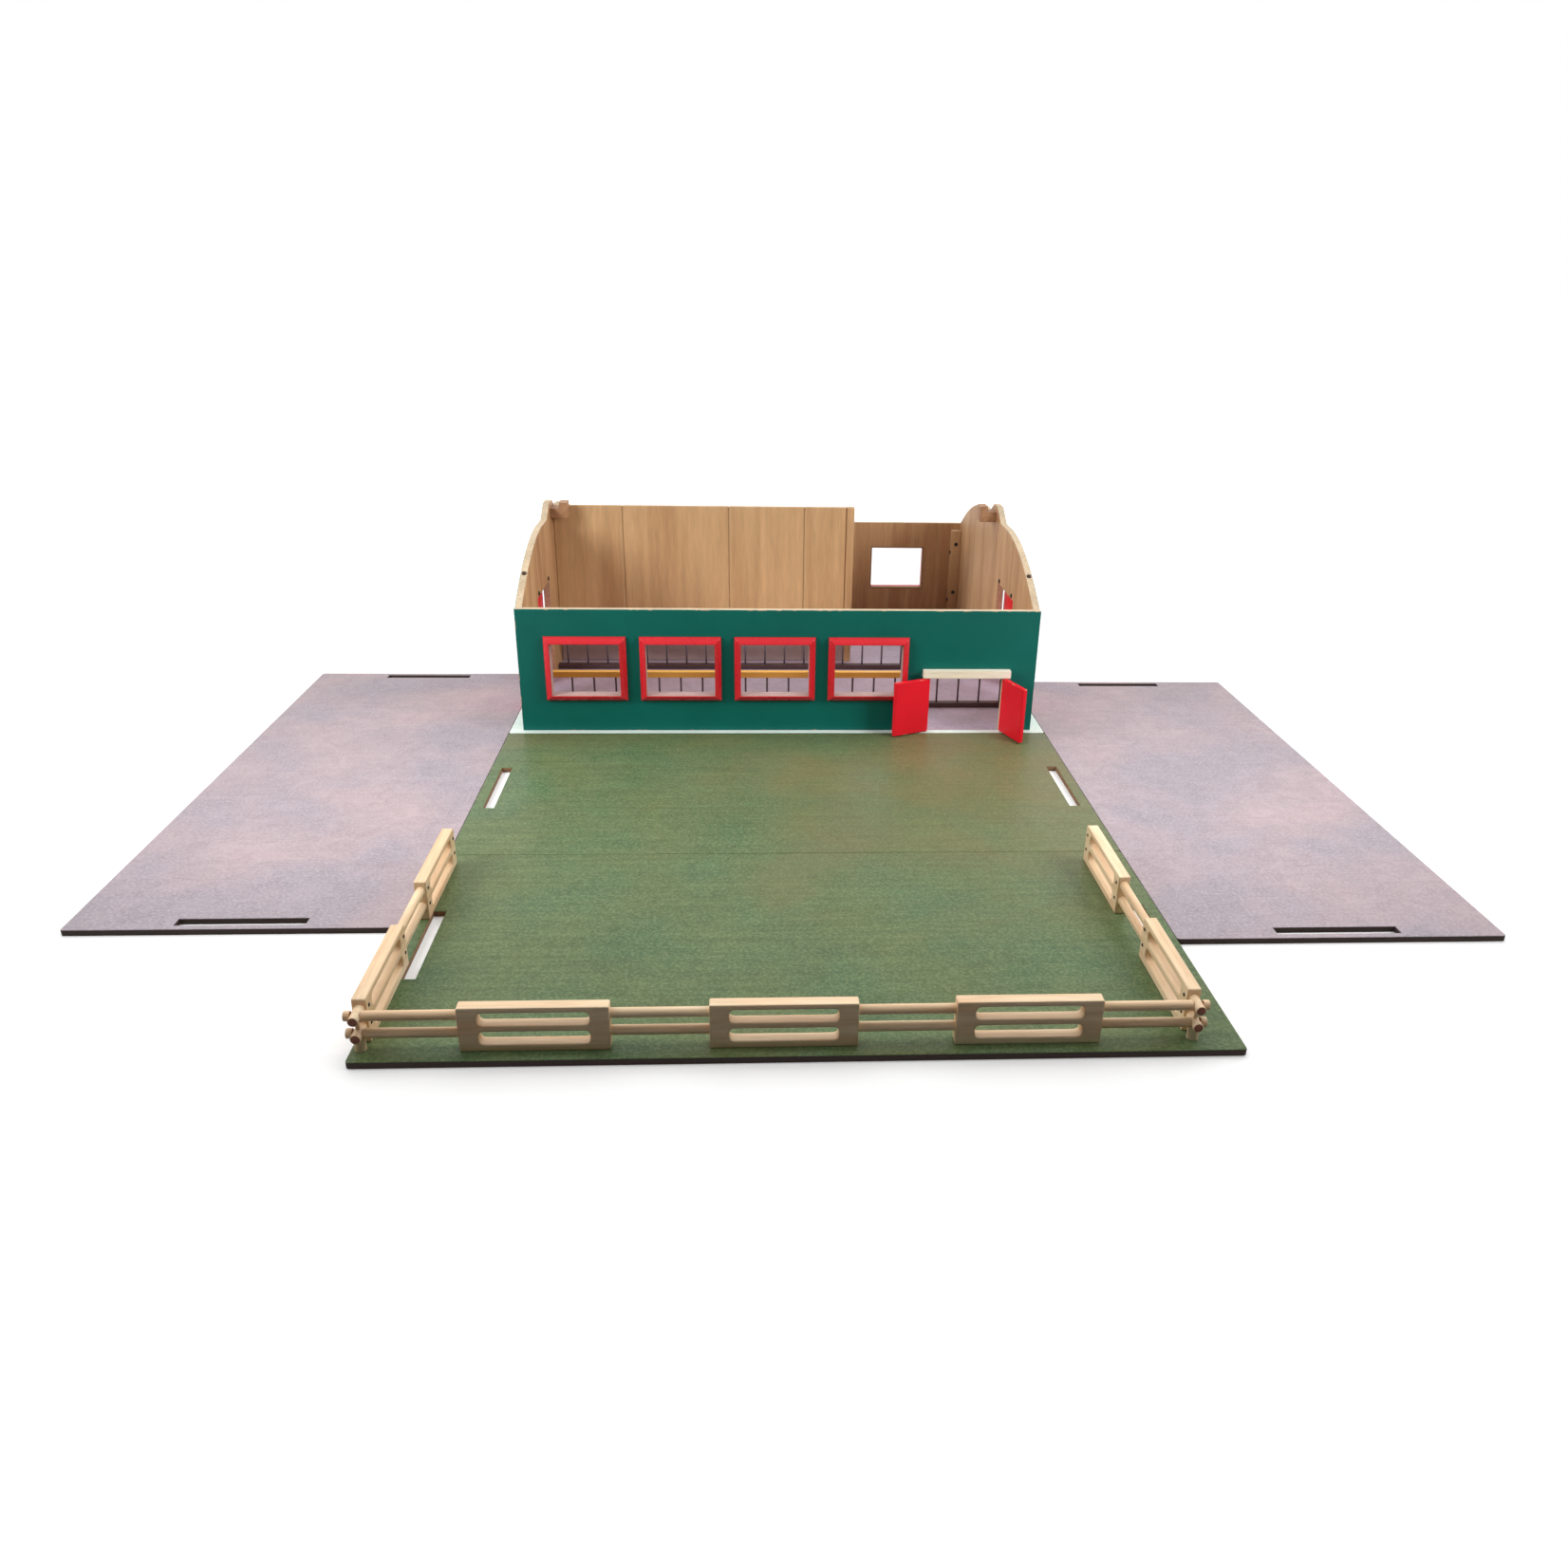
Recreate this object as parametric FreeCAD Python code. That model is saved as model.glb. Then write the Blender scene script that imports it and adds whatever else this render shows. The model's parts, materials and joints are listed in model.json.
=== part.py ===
import FreeCAD, Part
import math
import os

from FreeCAD import Vector

# A toy cow stable with its roof lifted off. It stands on a floor board, with two pasture boards in front,
# a yard board at each side and a loose fence round the far end of the pasture. Lengths are millimetres.

# Boards that lie flat on the ground
board_thickness = 6.0
board_gap = 0.5
floor_front_margin = 10.0
floor_rear_margin = 10.0
floor_side_margin = 16.5
pasture_depth = 347.0
yard_width = 307.0
yard_length = 737.0
left_yard_reach = 503.0
right_yard_reach = 537.0
pasture_slot_inset = 18.0
yard_slot_inset = 13.0
slot_end_play = 1.0
slot_side_play = 0.5

# Front wall, laid out from left to right
wall_thickness = 9.0
left_pier = 33.0
window_count = 4
window_spacing = 16.5
door_pier = 27.0
right_pier = 41.5
eave_height = 158.4

# Rooms, laid out from the front wall to the rear wall
lane_depth = 92.0
alley_width = 170.0
pen_depth = 38.0
rear_room_depth = 275.0

# Roof line of the gables: bowed from the eaves to two shoulders, with a raised middle under the ridge
ridge_height = 238.5
ridge_flat = 24.0
ridge_foot = 90.0
shoulder_height = 220.5
shoulder_span = 180.0
roof_bow = 13.0

# Windows with their red frames
window_width = 86.0
window_height = 67.0
window_sill = 49.0
frame_width = 8.0
frame_depth = 9.0
frame_liner = 2.0
frame_edge_round = 4.0
rear_window_inset = 70.0

# Doorways, door leaves and their pins
door_width = 96.0
door_height = 73.0
gable_door_width = 104.0
gable_door_height = 139.0
leaf_thickness = 6.0
leaf_floor_gap = 1.5
leaf_top_gap = 1.0
leaf_meeting_gap = 1.0
leaf_edge_round = 0.8
hinge_offset = 5.0
hinge_overlap = 1.5
pin_diameter = 3.0
pin_leaf_seat = 10.0
pin_lintel_seat = 6.0
pin_floor_seat = 4.5
fit_clearance = 0.05
lintel_depth = 10.0
lintel_height = 10.0
lintel_overhang = 8.0

# How far each pair of leaves stands open, in degrees: the first leaf of a pair, then the second
front_leaves_open = (155.0, 110.0)
gable_leaves_open = (175.0, 0.0)

# Partition at the ridge
partition_thickness = 9.0
partition_length = 423.0
partition_drop = 8.0
plank_width_shares = (0.234, 0.361, 0.259, 0.146)
end_post_width = 11.0
end_post_depth = 13.0
cleat_height = 20.0
cleat_thickness = 8.0
cleat_height_shares = (0.15, 0.75)

# Feed fences
curb_width = 10.0
curb_height = 7.0
feed_bar_diameter = 2.6
feed_bar_pitch = 28.5
feed_bar_seat = 4.0
feed_beam_bottom = 42.0
feed_beam_height = 8.0
feed_beam_depth = 9.0

# Roof fittings left on the gables
peg_diameter = 6.0
peg_seat = 14.0
peg_proud = 3.0
peg_set_back = 64.0
cradle_reach = 24.0
cradle_width = 24.0
cradle_height = 22.0
cradle_groove_width = 13.0
cradle_groove_depth = 8.0

# Corner posts and screws
corner_section = 15.0
corner_post_drop = 10.0
screw_diameter = 3.0
screw_head_diameter = 6.0
screw_head_height = 1.8
screw_bite = 6.0
floor_screw_bite = 14.0
side_screw_height_shares = (0.2, 0.75)
end_screw_height_shares = (0.3, 0.85)
front_screw_shares = (0.12, 0.45, 0.74)
gable_screw_shares = (0.1, 0.6, 0.9)
lintel_screw_share = 0.4

# Loose fence
fence_board_length = 114.0
fence_board_thickness = 11.0
fence_stile_width = 15.0
fence_bar_heights = (6.0, 5.0, 4.5)
fence_slot_height = 11.5
fence_slot_round = 4.5
fence_board_round = 1.5
rail_diameter = 8.0
rail_heights = (14.5, 30.0)
rail_seat = 11.0
rail_seat_play = 0.5
rail_gap = 75.0
rail_overhang = 9.0
corner_lead = 9.0
lap_play = 0.1
front_board_count = 3
side_board_count = 2
fence_front_inset = 17.0
fence_shift = -15.5
foot_diameter = 9.0
corner_pin_diameter = 3.0
nail_diameter = 1.6
nail_head_diameter = 3.4
nail_head_height = 0.8
nail_length = 9.0
nail_end_distance = 6.0

# One overrun serves every cut that has to pass through a face
overrun = 1.0

# Sizes that follow from those above
frame_outer_width = window_width + 2 * frame_width
frame_outer_height = window_height + 2 * frame_width
window_pitch = frame_outer_width + window_spacing
windows_run = window_count * frame_outer_width + (window_count - 1) * window_spacing
stable_width = left_pier + windows_run + door_pier + door_width + right_pier
stable_depth = lane_depth + alley_width + pen_depth + rear_room_depth
ground_width = stable_width + 2 * floor_side_margin
outer_x = stable_width / 2
inner_x = outer_x - wall_thickness
inner_width = 2 * inner_x
floor_z = board_thickness
first_window_x = -outer_x + left_pier + frame_outer_width / 2
rear_window_x = outer_x - rear_window_inset - window_width / 2
window_middle_z = floor_z + window_sill + window_height / 2
door_right_x = outer_x - right_pier
door_left_x = door_right_x - door_width
gable_door_middle_y = lane_depth + alley_width / 2
front_feed_y = lane_depth
rear_feed_y = lane_depth + alley_width
partition_front_y = rear_feed_y + pen_depth
partition_rear_y = partition_front_y + partition_thickness
ridge_y = stable_depth / 2
shoulder_y = ridge_y - shoulder_span / 2
rear_pasture_y = -floor_front_margin - board_gap
front_pasture_y = rear_pasture_y - pasture_depth - board_gap
ground_front_y = front_pasture_y - pasture_depth
ground_rear_y = stable_depth + floor_rear_margin
fence_board_height = sum(fence_bar_heights) + 2 * fence_slot_height
fence_pitch = fence_board_length + rail_gap
fence_half_span = front_board_count * fence_pitch / 2 + rail_gap / 2
fence_front_y = ground_front_y + fence_front_inset

# The origin is on the ground, in the middle of everything the set covers
to_origin = Vector(0, -(ground_front_y + ground_rear_y) / 2, 0)


def block(x0, x1, y0, y1, z0, z1):
    """Box between two corners."""
    return Part.makeBox(x1 - x0, y1 - y0, z1 - z0, Vector(x0, y0, z0))


def rod(diameter, start, end):
    """Round bar from one point to another."""
    way = end - start
    return Part.makeCylinder(diameter / 2, way.Length, start, way)


def cut_all(shape, tools):
    """Shape with every tool taken away."""
    return shape.cut(list(tools)) if tools else shape


def rounded(shape, radius, wanted):
    """Shape with a fillet on the edges whose middle point is wanted."""
    edges = [edge for edge in shape.Edges if wanted(edge.CenterOfMass)]
    return shape.makeFillet(radius, edges)


def near(a, b):
    """True for two lengths that are the same to within a fit."""
    return abs(a - b) < fit_clearance


def roof_height(y):
    """Height of the bowed roof line above the floor board, from an eave (y = wall_thickness) to a shoulder."""
    share = (y - wall_thickness) / (shoulder_y - wall_thickness)
    straight = eave_height + share * (shoulder_height - eave_height)
    return straight + 4 * roof_bow * share * (1 - share)


def window_centres():
    """Middle of each window of the front wall, from left to right."""
    return [first_window_x + i * window_pitch for i in range(window_count)]


def window_hole(x, y0):
    """Hole through a wall whose front face lies at y0, with room for the frame's liner."""
    half_width = window_width / 2 + frame_liner + fit_clearance
    half_height = window_height / 2 + frame_liner + fit_clearance
    return block(x - half_width, x + half_width, y0 - overrun, y0 + wall_thickness + overrun,
                 window_middle_z - half_height, window_middle_z + half_height)


def window_frame(x, face_y, outward):
    """Red frame on a wall's outer face, with a liner through the wall. outward is -1 or 1 along Y."""
    half_width = window_width / 2
    half_height = window_height / 2
    ring = block(-half_width - frame_width, half_width + frame_width, -frame_depth, 0,
                 -half_height - frame_width, half_height + frame_width)

    def on_outer_rim(point):
        on_side = near(abs(point.x), frame_outer_width / 2)
        on_end = near(abs(point.z), frame_outer_height / 2)
        return near(point.y, -frame_depth) and (on_side or on_end)

    ring = rounded(ring, frame_edge_round, on_outer_rim)
    liner = block(-half_width - frame_liner, half_width + frame_liner, 0, wall_thickness,
                  -half_height - frame_liner, half_height + frame_liner)
    clear = block(-half_width, half_width, -frame_depth - overrun, wall_thickness + overrun,
                  -half_height, half_height)
    frame = ring.fuse(liner).cut(clear).removeSplitter()
    if outward > 0:
        frame.rotate(Vector(0, 0, 0), Vector(0, 0, 1), 180)
    frame.translate(Vector(x, face_y, window_middle_z))
    return frame


def floor_screw_places():
    """Points on the ground under the walls where screws go up into them."""
    places = []
    for share in front_screw_shares:
        x = -outer_x + share * stable_width
        places.append(Vector(x, wall_thickness / 2, 0))
        places.append(Vector(x, stable_depth - wall_thickness / 2, 0))
    for share in gable_screw_shares:
        for side in (-1, 1):
            places.append(Vector(side * (outer_x - wall_thickness / 2), share * stable_depth, 0))
    return places


def floor_screw(place, clearance=0):
    """Countersunk screw, head flush with the underside of the floor board. A clearance makes its hole."""
    shank = (screw_diameter + 2 * clearance) / 2
    head = (screw_head_diameter + 2 * clearance) / 2
    length = board_thickness + floor_screw_bite + clearance
    cone = Part.makeCone(head, shank, screw_head_height, place)
    return cone.fuse(Part.makeCylinder(shank, length, place)).removeSplitter()


def floor_screw_holes():
    """Holes for all floor screws."""
    return [floor_screw(place, fit_clearance) for place in floor_screw_places()]


def pan_screw(seat, direction, length, clearance=0):
    """Screw with a flat round head on its seat and its shank along direction. A clearance makes its hole."""
    shank = rod(screw_diameter + 2 * clearance, seat, seat + direction * (length + clearance))
    if clearance:
        return shank
    head = rod(screw_head_diameter, seat - direction * screw_head_height, seat)
    return head.fuse(shank).removeSplitter()


def corner_screws(clearance=0):
    """Screws from inside the stable, through the corner posts and into both walls of each corner."""
    post_height = eave_height - corner_post_drop
    length = corner_section + screw_bite
    screws = []
    for side in (-1, 1):
        for end in (-1, 1):
            x = side * (inner_x - corner_section / 2)
            y = ridge_y + end * (ridge_y - wall_thickness - corner_section / 2)
            for share in side_screw_height_shares:
                seat = Vector(side * (inner_x - corner_section), y, floor_z + share * post_height)
                screws.append(pan_screw(seat, Vector(side, 0, 0), length, clearance))
            for share in end_screw_height_shares:
                seat = Vector(x, y - end * corner_section / 2, floor_z + share * post_height)
                screws.append(pan_screw(seat, Vector(0, end, 0), length, clearance))
    return screws


def lintel_screws(clearance=0):
    """Screws from inside, through the wall above each doorway and into its lintel."""
    length = wall_thickness + screw_bite
    front_z = floor_z + door_height + lintel_height / 2
    gable_z = floor_z + gable_door_height + lintel_height / 2
    door_middle_x = (door_left_x + door_right_x) / 2
    screws = []
    for end in (-1, 1):
        x = door_middle_x + end * lintel_screw_share * door_width
        seat = Vector(x, wall_thickness, front_z)
        screws.append(pan_screw(seat, Vector(0, -1, 0), length, clearance))
        y = gable_door_middle_y + end * lintel_screw_share * gable_door_width
        for side in (-1, 1):
            seat = Vector(side * inner_x, y, gable_z)
            screws.append(pan_screw(seat, Vector(side, 0, 0), length, clearance))
    return screws


def leaf_places():
    """Name, hinge axis, closed heading, turn, opening, half width and height of each door leaf."""
    axis_x = outer_x + hinge_offset
    front_y = gable_door_middle_y - gable_door_width / 2 - hinge_overlap
    rear_y = gable_door_middle_y + gable_door_width / 2 + hinge_overlap
    first_open, second_open = front_leaves_open
    front_half = door_width / 2
    gable_half = gable_door_width / 2
    places = [
        ("front_left_leaf", Vector(door_left_x - hinge_overlap, -hinge_offset, 0), 0, -1,
         first_open, front_half, door_height),
        ("front_right_leaf", Vector(door_right_x + hinge_overlap, -hinge_offset, 0), 180, 1,
         second_open, front_half, door_height),
    ]
    first_open, second_open = gable_leaves_open
    for gable, side in (("left_gable", -1), ("right_gable", 1)):
        places.append((gable + "_front_leaf", Vector(side * axis_x, front_y, 0), 90, -side,
                       first_open, gable_half, gable_door_height))
        places.append((gable + "_rear_leaf", Vector(side * axis_x, rear_y, 0), 270, side,
                       second_open, gable_half, gable_door_height))
    return places


def pin_holes():
    """Round holes in the lintels and the floor board for the pins that the leaves turn on."""
    holes = []
    for _, axis, _, _, _, _, doorway_height in leaf_places():
        lintel_z = floor_z + doorway_height
        top = lintel_z + pin_lintel_seat + fit_clearance
        bore = pin_diameter + 2 * fit_clearance
        holes.append(rod(bore, axis + Vector(0, 0, lintel_z - overrun), axis + Vector(0, 0, top)))
        holes.append(rod(bore, axis - Vector(0, 0, overrun), axis + Vector(0, 0, floor_z + overrun)))
    return holes


def leaf_pins(axis, doorway_height, clearance=0):
    """Lower and upper pin of one leaf. A clearance makes their seats in the leaf."""
    leaf_bottom = floor_z + leaf_floor_gap
    leaf_top = floor_z + doorway_height - leaf_top_gap
    size = pin_diameter + 2 * clearance
    lower = rod(size, axis + Vector(0, 0, floor_z - pin_floor_seat),
                axis + Vector(0, 0, leaf_bottom + pin_leaf_seat + clearance))
    upper = rod(size, axis + Vector(0, 0, leaf_top - pin_leaf_seat - clearance),
                axis + Vector(0, 0, floor_z + doorway_height + pin_lintel_seat))
    return [lower, upper]


def door_leaf(axis, heading, turn, opening, half_width, doorway_height):
    """Flat red leaf with a round hinge edge, turned open about its pins."""
    bottom = floor_z + leaf_floor_gap
    height = doorway_height - leaf_floor_gap - leaf_top_gap
    length = half_width + hinge_overlap - leaf_meeting_gap / 2
    half = leaf_thickness / 2
    panel = block(0, length, -half, half, bottom, bottom + height)
    panel = rounded(panel, leaf_edge_round, lambda point: near(point.x, length))
    edge = Part.makeCylinder(half, height, Vector(0, 0, bottom))
    leaf = panel.fuse(edge).removeSplitter()
    leaf = cut_all(leaf, leaf_pins(Vector(0, 0, 0), doorway_height, fit_clearance))
    leaf.rotate(Vector(0, 0, 0), Vector(0, 0, 1), heading + turn * opening)
    leaf.translate(axis)
    return leaf


def floor_board():
    """Board that carries the walls and the lower door pins."""
    board = block(-ground_width / 2, ground_width / 2, -floor_front_margin, ground_rear_y, 0, floor_z)
    return cut_all(board, pin_holes() + floor_screw_holes())


def front_wall():
    """Painted front wall with four windows and the cow doorway."""
    wall = block(-outer_x, outer_x, 0, wall_thickness, floor_z, floor_z + eave_height)
    doorway = block(door_left_x, door_right_x, -overrun, wall_thickness + overrun,
                    floor_z - overrun, floor_z + door_height)
    holes = [window_hole(x, 0) for x in window_centres()] + [doorway]
    holes += floor_screw_holes() + corner_screws(fit_clearance) + lintel_screws(fit_clearance)
    return cut_all(wall, holes)


def rear_wall():
    """Rear wall with one window."""
    face_y = stable_depth - wall_thickness
    wall = block(-outer_x, outer_x, face_y, stable_depth, floor_z, floor_z + eave_height)
    holes = [window_hole(rear_window_x, face_y)]
    return cut_all(wall, holes + floor_screw_holes() + corner_screws(fit_clearance))


def gable(side):
    """Side wall under the roof line, between the front and rear walls, with a tall doorway."""
    front = wall_thickness
    eave, middle, shoulder = [Vector(0, y, floor_z + roof_height(y))
                              for y in (front, (front + shoulder_y) / 2, shoulder_y)]
    foot = Vector(0, ridge_y - ridge_foot / 2, shoulder.z)
    peak = Vector(0, ridge_y - ridge_flat / 2, floor_z + ridge_height)
    half = [Part.LineSegment(Vector(0, front, floor_z), eave), Part.Arc(eave, middle, shoulder),
            Part.LineSegment(shoulder, foot), Part.LineSegment(foot, peak),
            Part.LineSegment(peak, Vector(0, ridge_y, peak.z))]
    edges = [curve.toShape() for curve in half]
    edges += [edge.mirror(Vector(0, ridge_y, 0), Vector(0, 1, 0)) for edge in edges]
    edges.append(Part.makeLine(Vector(0, front, floor_z), Vector(0, stable_depth - front, floor_z)))
    sheet = Part.Face(Part.Wire(Part.__sortEdges__(edges)))
    wall = sheet.extrude(Vector(wall_thickness, 0, 0)).removeSplitter()
    wall.translate(Vector(inner_x if side > 0 else -outer_x, 0, 0))
    doorway = block(-outer_x - overrun, outer_x + overrun,
                    gable_door_middle_y - gable_door_width / 2, gable_door_middle_y + gable_door_width / 2,
                    floor_z - overrun, floor_z + gable_door_height)
    holes = [doorway] + floor_screw_holes() + corner_screws(fit_clearance) + lintel_screws(fit_clearance)
    return cut_all(wall, holes + roof_pegs(fit_clearance))


def front_lintel():
    """Batten above the front doorway that takes the upper door pins."""
    bottom = floor_z + door_height
    batten = block(door_left_x - lintel_overhang, door_right_x + lintel_overhang, -lintel_depth, 0,
                   bottom, bottom + lintel_height)
    return cut_all(batten, pin_holes() + lintel_screws(fit_clearance))


def gable_lintel(side):
    """Batten above a gable doorway that takes the upper door pins."""
    bottom = floor_z + gable_door_height
    half = gable_door_width / 2 + lintel_overhang
    near_x, far_x = sorted((side * outer_x, side * (outer_x + lintel_depth)))
    batten = block(near_x, far_x, gable_door_middle_y - half, gable_door_middle_y + half,
                   bottom, bottom + lintel_height)
    return cut_all(batten, pin_holes() + lintel_screws(fit_clearance))


def corner_posts():
    """Four square posts that tie the walls together from inside."""
    top = floor_z + eave_height - corner_post_drop
    holes = corner_screws(fit_clearance)
    rear = stable_depth - wall_thickness
    posts = []
    for x in (-inner_x, inner_x - corner_section):
        for y in (wall_thickness, rear - corner_section):
            post = block(x, x + corner_section, y, y + corner_section, floor_z, top)
            posts.append(cut_all(post, holes))
    return posts


def roof_pegs(clearance=0):
    """Short pegs that stand in the gables' sloping edges. A clearance makes their holes."""
    pegs = []
    for side in (-1, 1):
        for y in (peg_set_back, stable_depth - peg_set_back):
            seat_z = floor_z + roof_height(peg_set_back)
            top = Vector(side * (outer_x - wall_thickness / 2), y, seat_z + peg_proud)
            bottom = top - Vector(0, 0, peg_proud + peg_seat + clearance)
            pegs.append(rod(peg_diameter + 2 * clearance, bottom, top))
    return pegs


def ridge_cradle(side):
    """Block inside a gable's peak, grooved for the end of the roof's ridge piece."""
    top = floor_z + ridge_height
    y0 = ridge_y - cradle_width / 2
    y1 = ridge_y + cradle_width / 2
    body = block(inner_x - cradle_reach, inner_x, y0, y1, top - cradle_height, top)
    groove = block(inner_x - cradle_groove_width, inner_x + overrun, y0 - overrun, y1 + overrun,
                   top - cradle_groove_depth, top + overrun)
    cradle = body.cut(groove)
    return cradle if side > 0 else cradle.mirror(Vector(0, 0, 0), Vector(1, 0, 0))


def partition_planks():
    """Upright planks of the partition, side by side from the left gable."""
    top = floor_z + ridge_height - partition_drop
    room = ridge_cradle(-1).BoundBox
    notch = block(room.XMin - fit_clearance, room.XMax + fit_clearance, room.YMin - fit_clearance,
                  room.YMax + fit_clearance, room.ZMin - fit_clearance, room.ZMax + overrun)
    left = -inner_x
    planks = []
    for share in plank_width_shares:
        right = left + share * partition_length
        plank = block(left, right, partition_front_y, partition_rear_y, floor_z, top)
        planks.append(plank.cut(notch))
        left = right
    return planks


def partition_end_post():
    """Post that caps the free end of the partition."""
    x = -inner_x + sum(plank_width_shares) * partition_length
    middle_y = (partition_front_y + partition_rear_y) / 2
    top = floor_z + ridge_height - partition_drop
    return block(x, x + end_post_width, middle_y - end_post_depth / 2, middle_y + end_post_depth / 2,
                 floor_z, top)


def partition_cleats():
    """Two battens across the back of the planks."""
    height = ridge_height - partition_drop
    right = -inner_x + sum(plank_width_shares) * partition_length
    cleats = []
    for share in cleat_height_shares:
        z = floor_z + share * height
        cleats.append(block(-inner_x, right, partition_rear_y, partition_rear_y + cleat_thickness,
                            z, z + cleat_height))
    return cleats


def feed_bars(y, clearance=0):
    """Row of thin bars of a feed fence. A clearance makes their seats in the curb and the beam."""
    count = int(inner_width / feed_bar_pitch)
    step = inner_width / count
    bottom = floor_z + curb_height - feed_bar_seat - clearance
    top = floor_z + feed_beam_bottom + feed_bar_seat + clearance
    bars = []
    for i in range(count):
        x = -inner_x + step * (i + 1) - step / 2
        bars.append(rod(feed_bar_diameter + 2 * clearance, Vector(x, y, bottom), Vector(x, y, top)))
    return bars


def feed_curb(y):
    """Low dark curb on the floor that holds the bars' lower ends."""
    curb = block(-inner_x, inner_x, y - curb_width / 2, y + curb_width / 2, floor_z, floor_z + curb_height)
    return cut_all(curb, feed_bars(y, fit_clearance))


def feed_beam(y):
    """Yellow beam on top of the bars, from gable to gable."""
    bottom = floor_z + feed_beam_bottom
    beam = block(-inner_x, inner_x, y - feed_beam_depth / 2, y + feed_beam_depth / 2,
                 bottom, bottom + feed_beam_height)
    return cut_all(beam, feed_bars(y, fit_clearance))


def slotted_board(x0, x1, y0, y1, slots):
    """Ground board with slots that a fence board fits. Each slot is a middle point and its two lengths."""
    board = block(x0, x1, y0, y1, 0, board_thickness)
    cuts = []
    for x, y, along_x, along_y in slots:
        cuts.append(block(x - along_x / 2, x + along_x / 2, y - along_y / 2, y + along_y / 2,
                          -overrun, board_thickness + overrun))
    return cut_all(board, cuts)


def pasture(rear_y):
    """Green pasture board with a slot along each short edge."""
    half = ground_width / 2
    long_side = fence_board_length + 2 * slot_end_play
    short_side = fence_board_thickness + 2 * slot_side_play
    middle_y = rear_y - pasture_depth / 2
    slots = [(side * (half - pasture_slot_inset), middle_y, short_side, long_side) for side in (-1, 1)]
    return slotted_board(-half, half, rear_y - pasture_depth, rear_y, slots)


def yard(side, reach):
    """Grey yard board with a slot along each short edge."""
    near_x = side * (ground_width / 2 + board_gap)
    far_x = near_x + side * yard_width
    x0, x1 = sorted((near_x, far_x))
    front = -reach
    rear = front + yard_length
    long_side = fence_board_length + 2 * slot_end_play
    short_side = fence_board_thickness + 2 * slot_side_play
    middle_x = (x0 + x1) / 2
    slots = [(middle_x, y, long_side, short_side) for y in (front + yard_slot_inset, rear - yard_slot_inset)]
    return slotted_board(x0, x1, front, rear, slots)


def fence_places():
    """Name, middle point and turn of each fence board. A board's inner face looks along +Y before the turn."""
    places = []
    for i, name in enumerate(("left", "middle", "right")[:front_board_count]):
        x = fence_shift + (2 * i - front_board_count + 1) * fence_pitch / 2
        places.append(("fence_front_" + name + "_board", Vector(x, fence_front_y, floor_z), 0))
    for run, side in (("left", -1), ("right", 1)):
        for i, name in enumerate(("near", "far")[:side_board_count]):
            y = fence_front_y + corner_lead + fence_board_length / 2 + i * fence_pitch
            place = Vector(fence_shift + side * fence_half_span, y, floor_z)
            places.append(("fence_" + run + "_" + name + "_board", place, side * 90))
    return places


def placed(shape, place, turn):
    """Shape turned about Z and moved to its place."""
    shape.rotate(Vector(0, 0, 0), Vector(0, 0, 1), turn)
    shape.translate(place)
    return shape


def board_slot(bottom):
    """Long opening with rounded ends through a fence board."""
    half_length = fence_board_length / 2 - fence_stile_width
    half = fence_board_thickness / 2 + overrun
    slot = block(-half_length, half_length, -half, half, bottom, bottom + fence_slot_height)
    return rounded(slot, fence_slot_round, lambda point: near(point.y, 0))


def board_nails(clearance=0):
    """Four nails, driven from a fence board's inner face through the rail ends in its stiles."""
    face_y = fence_board_thickness / 2
    nails = []
    for end in (-1, 1):
        x = end * (fence_board_length / 2 - nail_end_distance)
        for z in rail_heights:
            seat = Vector(x, face_y, z)
            tip = seat - Vector(0, nail_length + clearance, 0)
            shank = rod(nail_diameter + 2 * clearance, tip, seat)
            if clearance == 0:
                head = rod(nail_head_diameter, seat, seat + Vector(0, nail_head_height, 0))
                shank = head.fuse(shank).removeSplitter()
            nails.append(shank)
    return nails


def fence_nails(clearance=0):
    """All nails of the fence in their places."""
    nails = []
    for _, place, turn in fence_places():
        nails += [placed(nail, place, turn) for nail in board_nails(clearance)]
    return nails


def fence_board():
    """Fence board with two long openings and seats for the rails in both ends."""
    half_length = fence_board_length / 2
    half = fence_board_thickness / 2
    board = block(-half_length, half_length, -half, half, 0, fence_board_height)
    board = rounded(board, fence_board_round, lambda point: near(abs(point.x), half_length) and near(point.y, 0))
    lower_bar, middle_bar, _ = fence_bar_heights
    cuts = [board_slot(lower_bar), board_slot(lower_bar + fence_slot_height + middle_bar)]
    for z in rail_heights:
        for end in (-1, 1):
            inner = Vector(end * (half_length - rail_seat - rail_seat_play), 0, z)
            outer = Vector(end * (half_length + overrun), 0, z)
            cuts.append(rod(rail_diameter + 2 * fit_clearance, inner, outer))
    return cut_all(board, cuts + board_nails(fit_clearance))


def lap(x, y, z, upper):
    """Half of a rail crossing that is cut away, above or below the rails' middle line."""
    half = rail_diameter / 2 + lap_play
    z0, z1 = (z, z + half) if upper else (z - half, z)
    return block(x - half, x + half, y - half, y + half, z0, z1)


def corner_pin_hole(x):
    """Hole for the pin that locks one corner of the fence."""
    top = floor_z + fence_board_height + overrun
    return rod(corner_pin_diameter + 2 * fit_clearance, Vector(x, fence_front_y, floor_z),
               Vector(x, fence_front_y, top))


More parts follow.
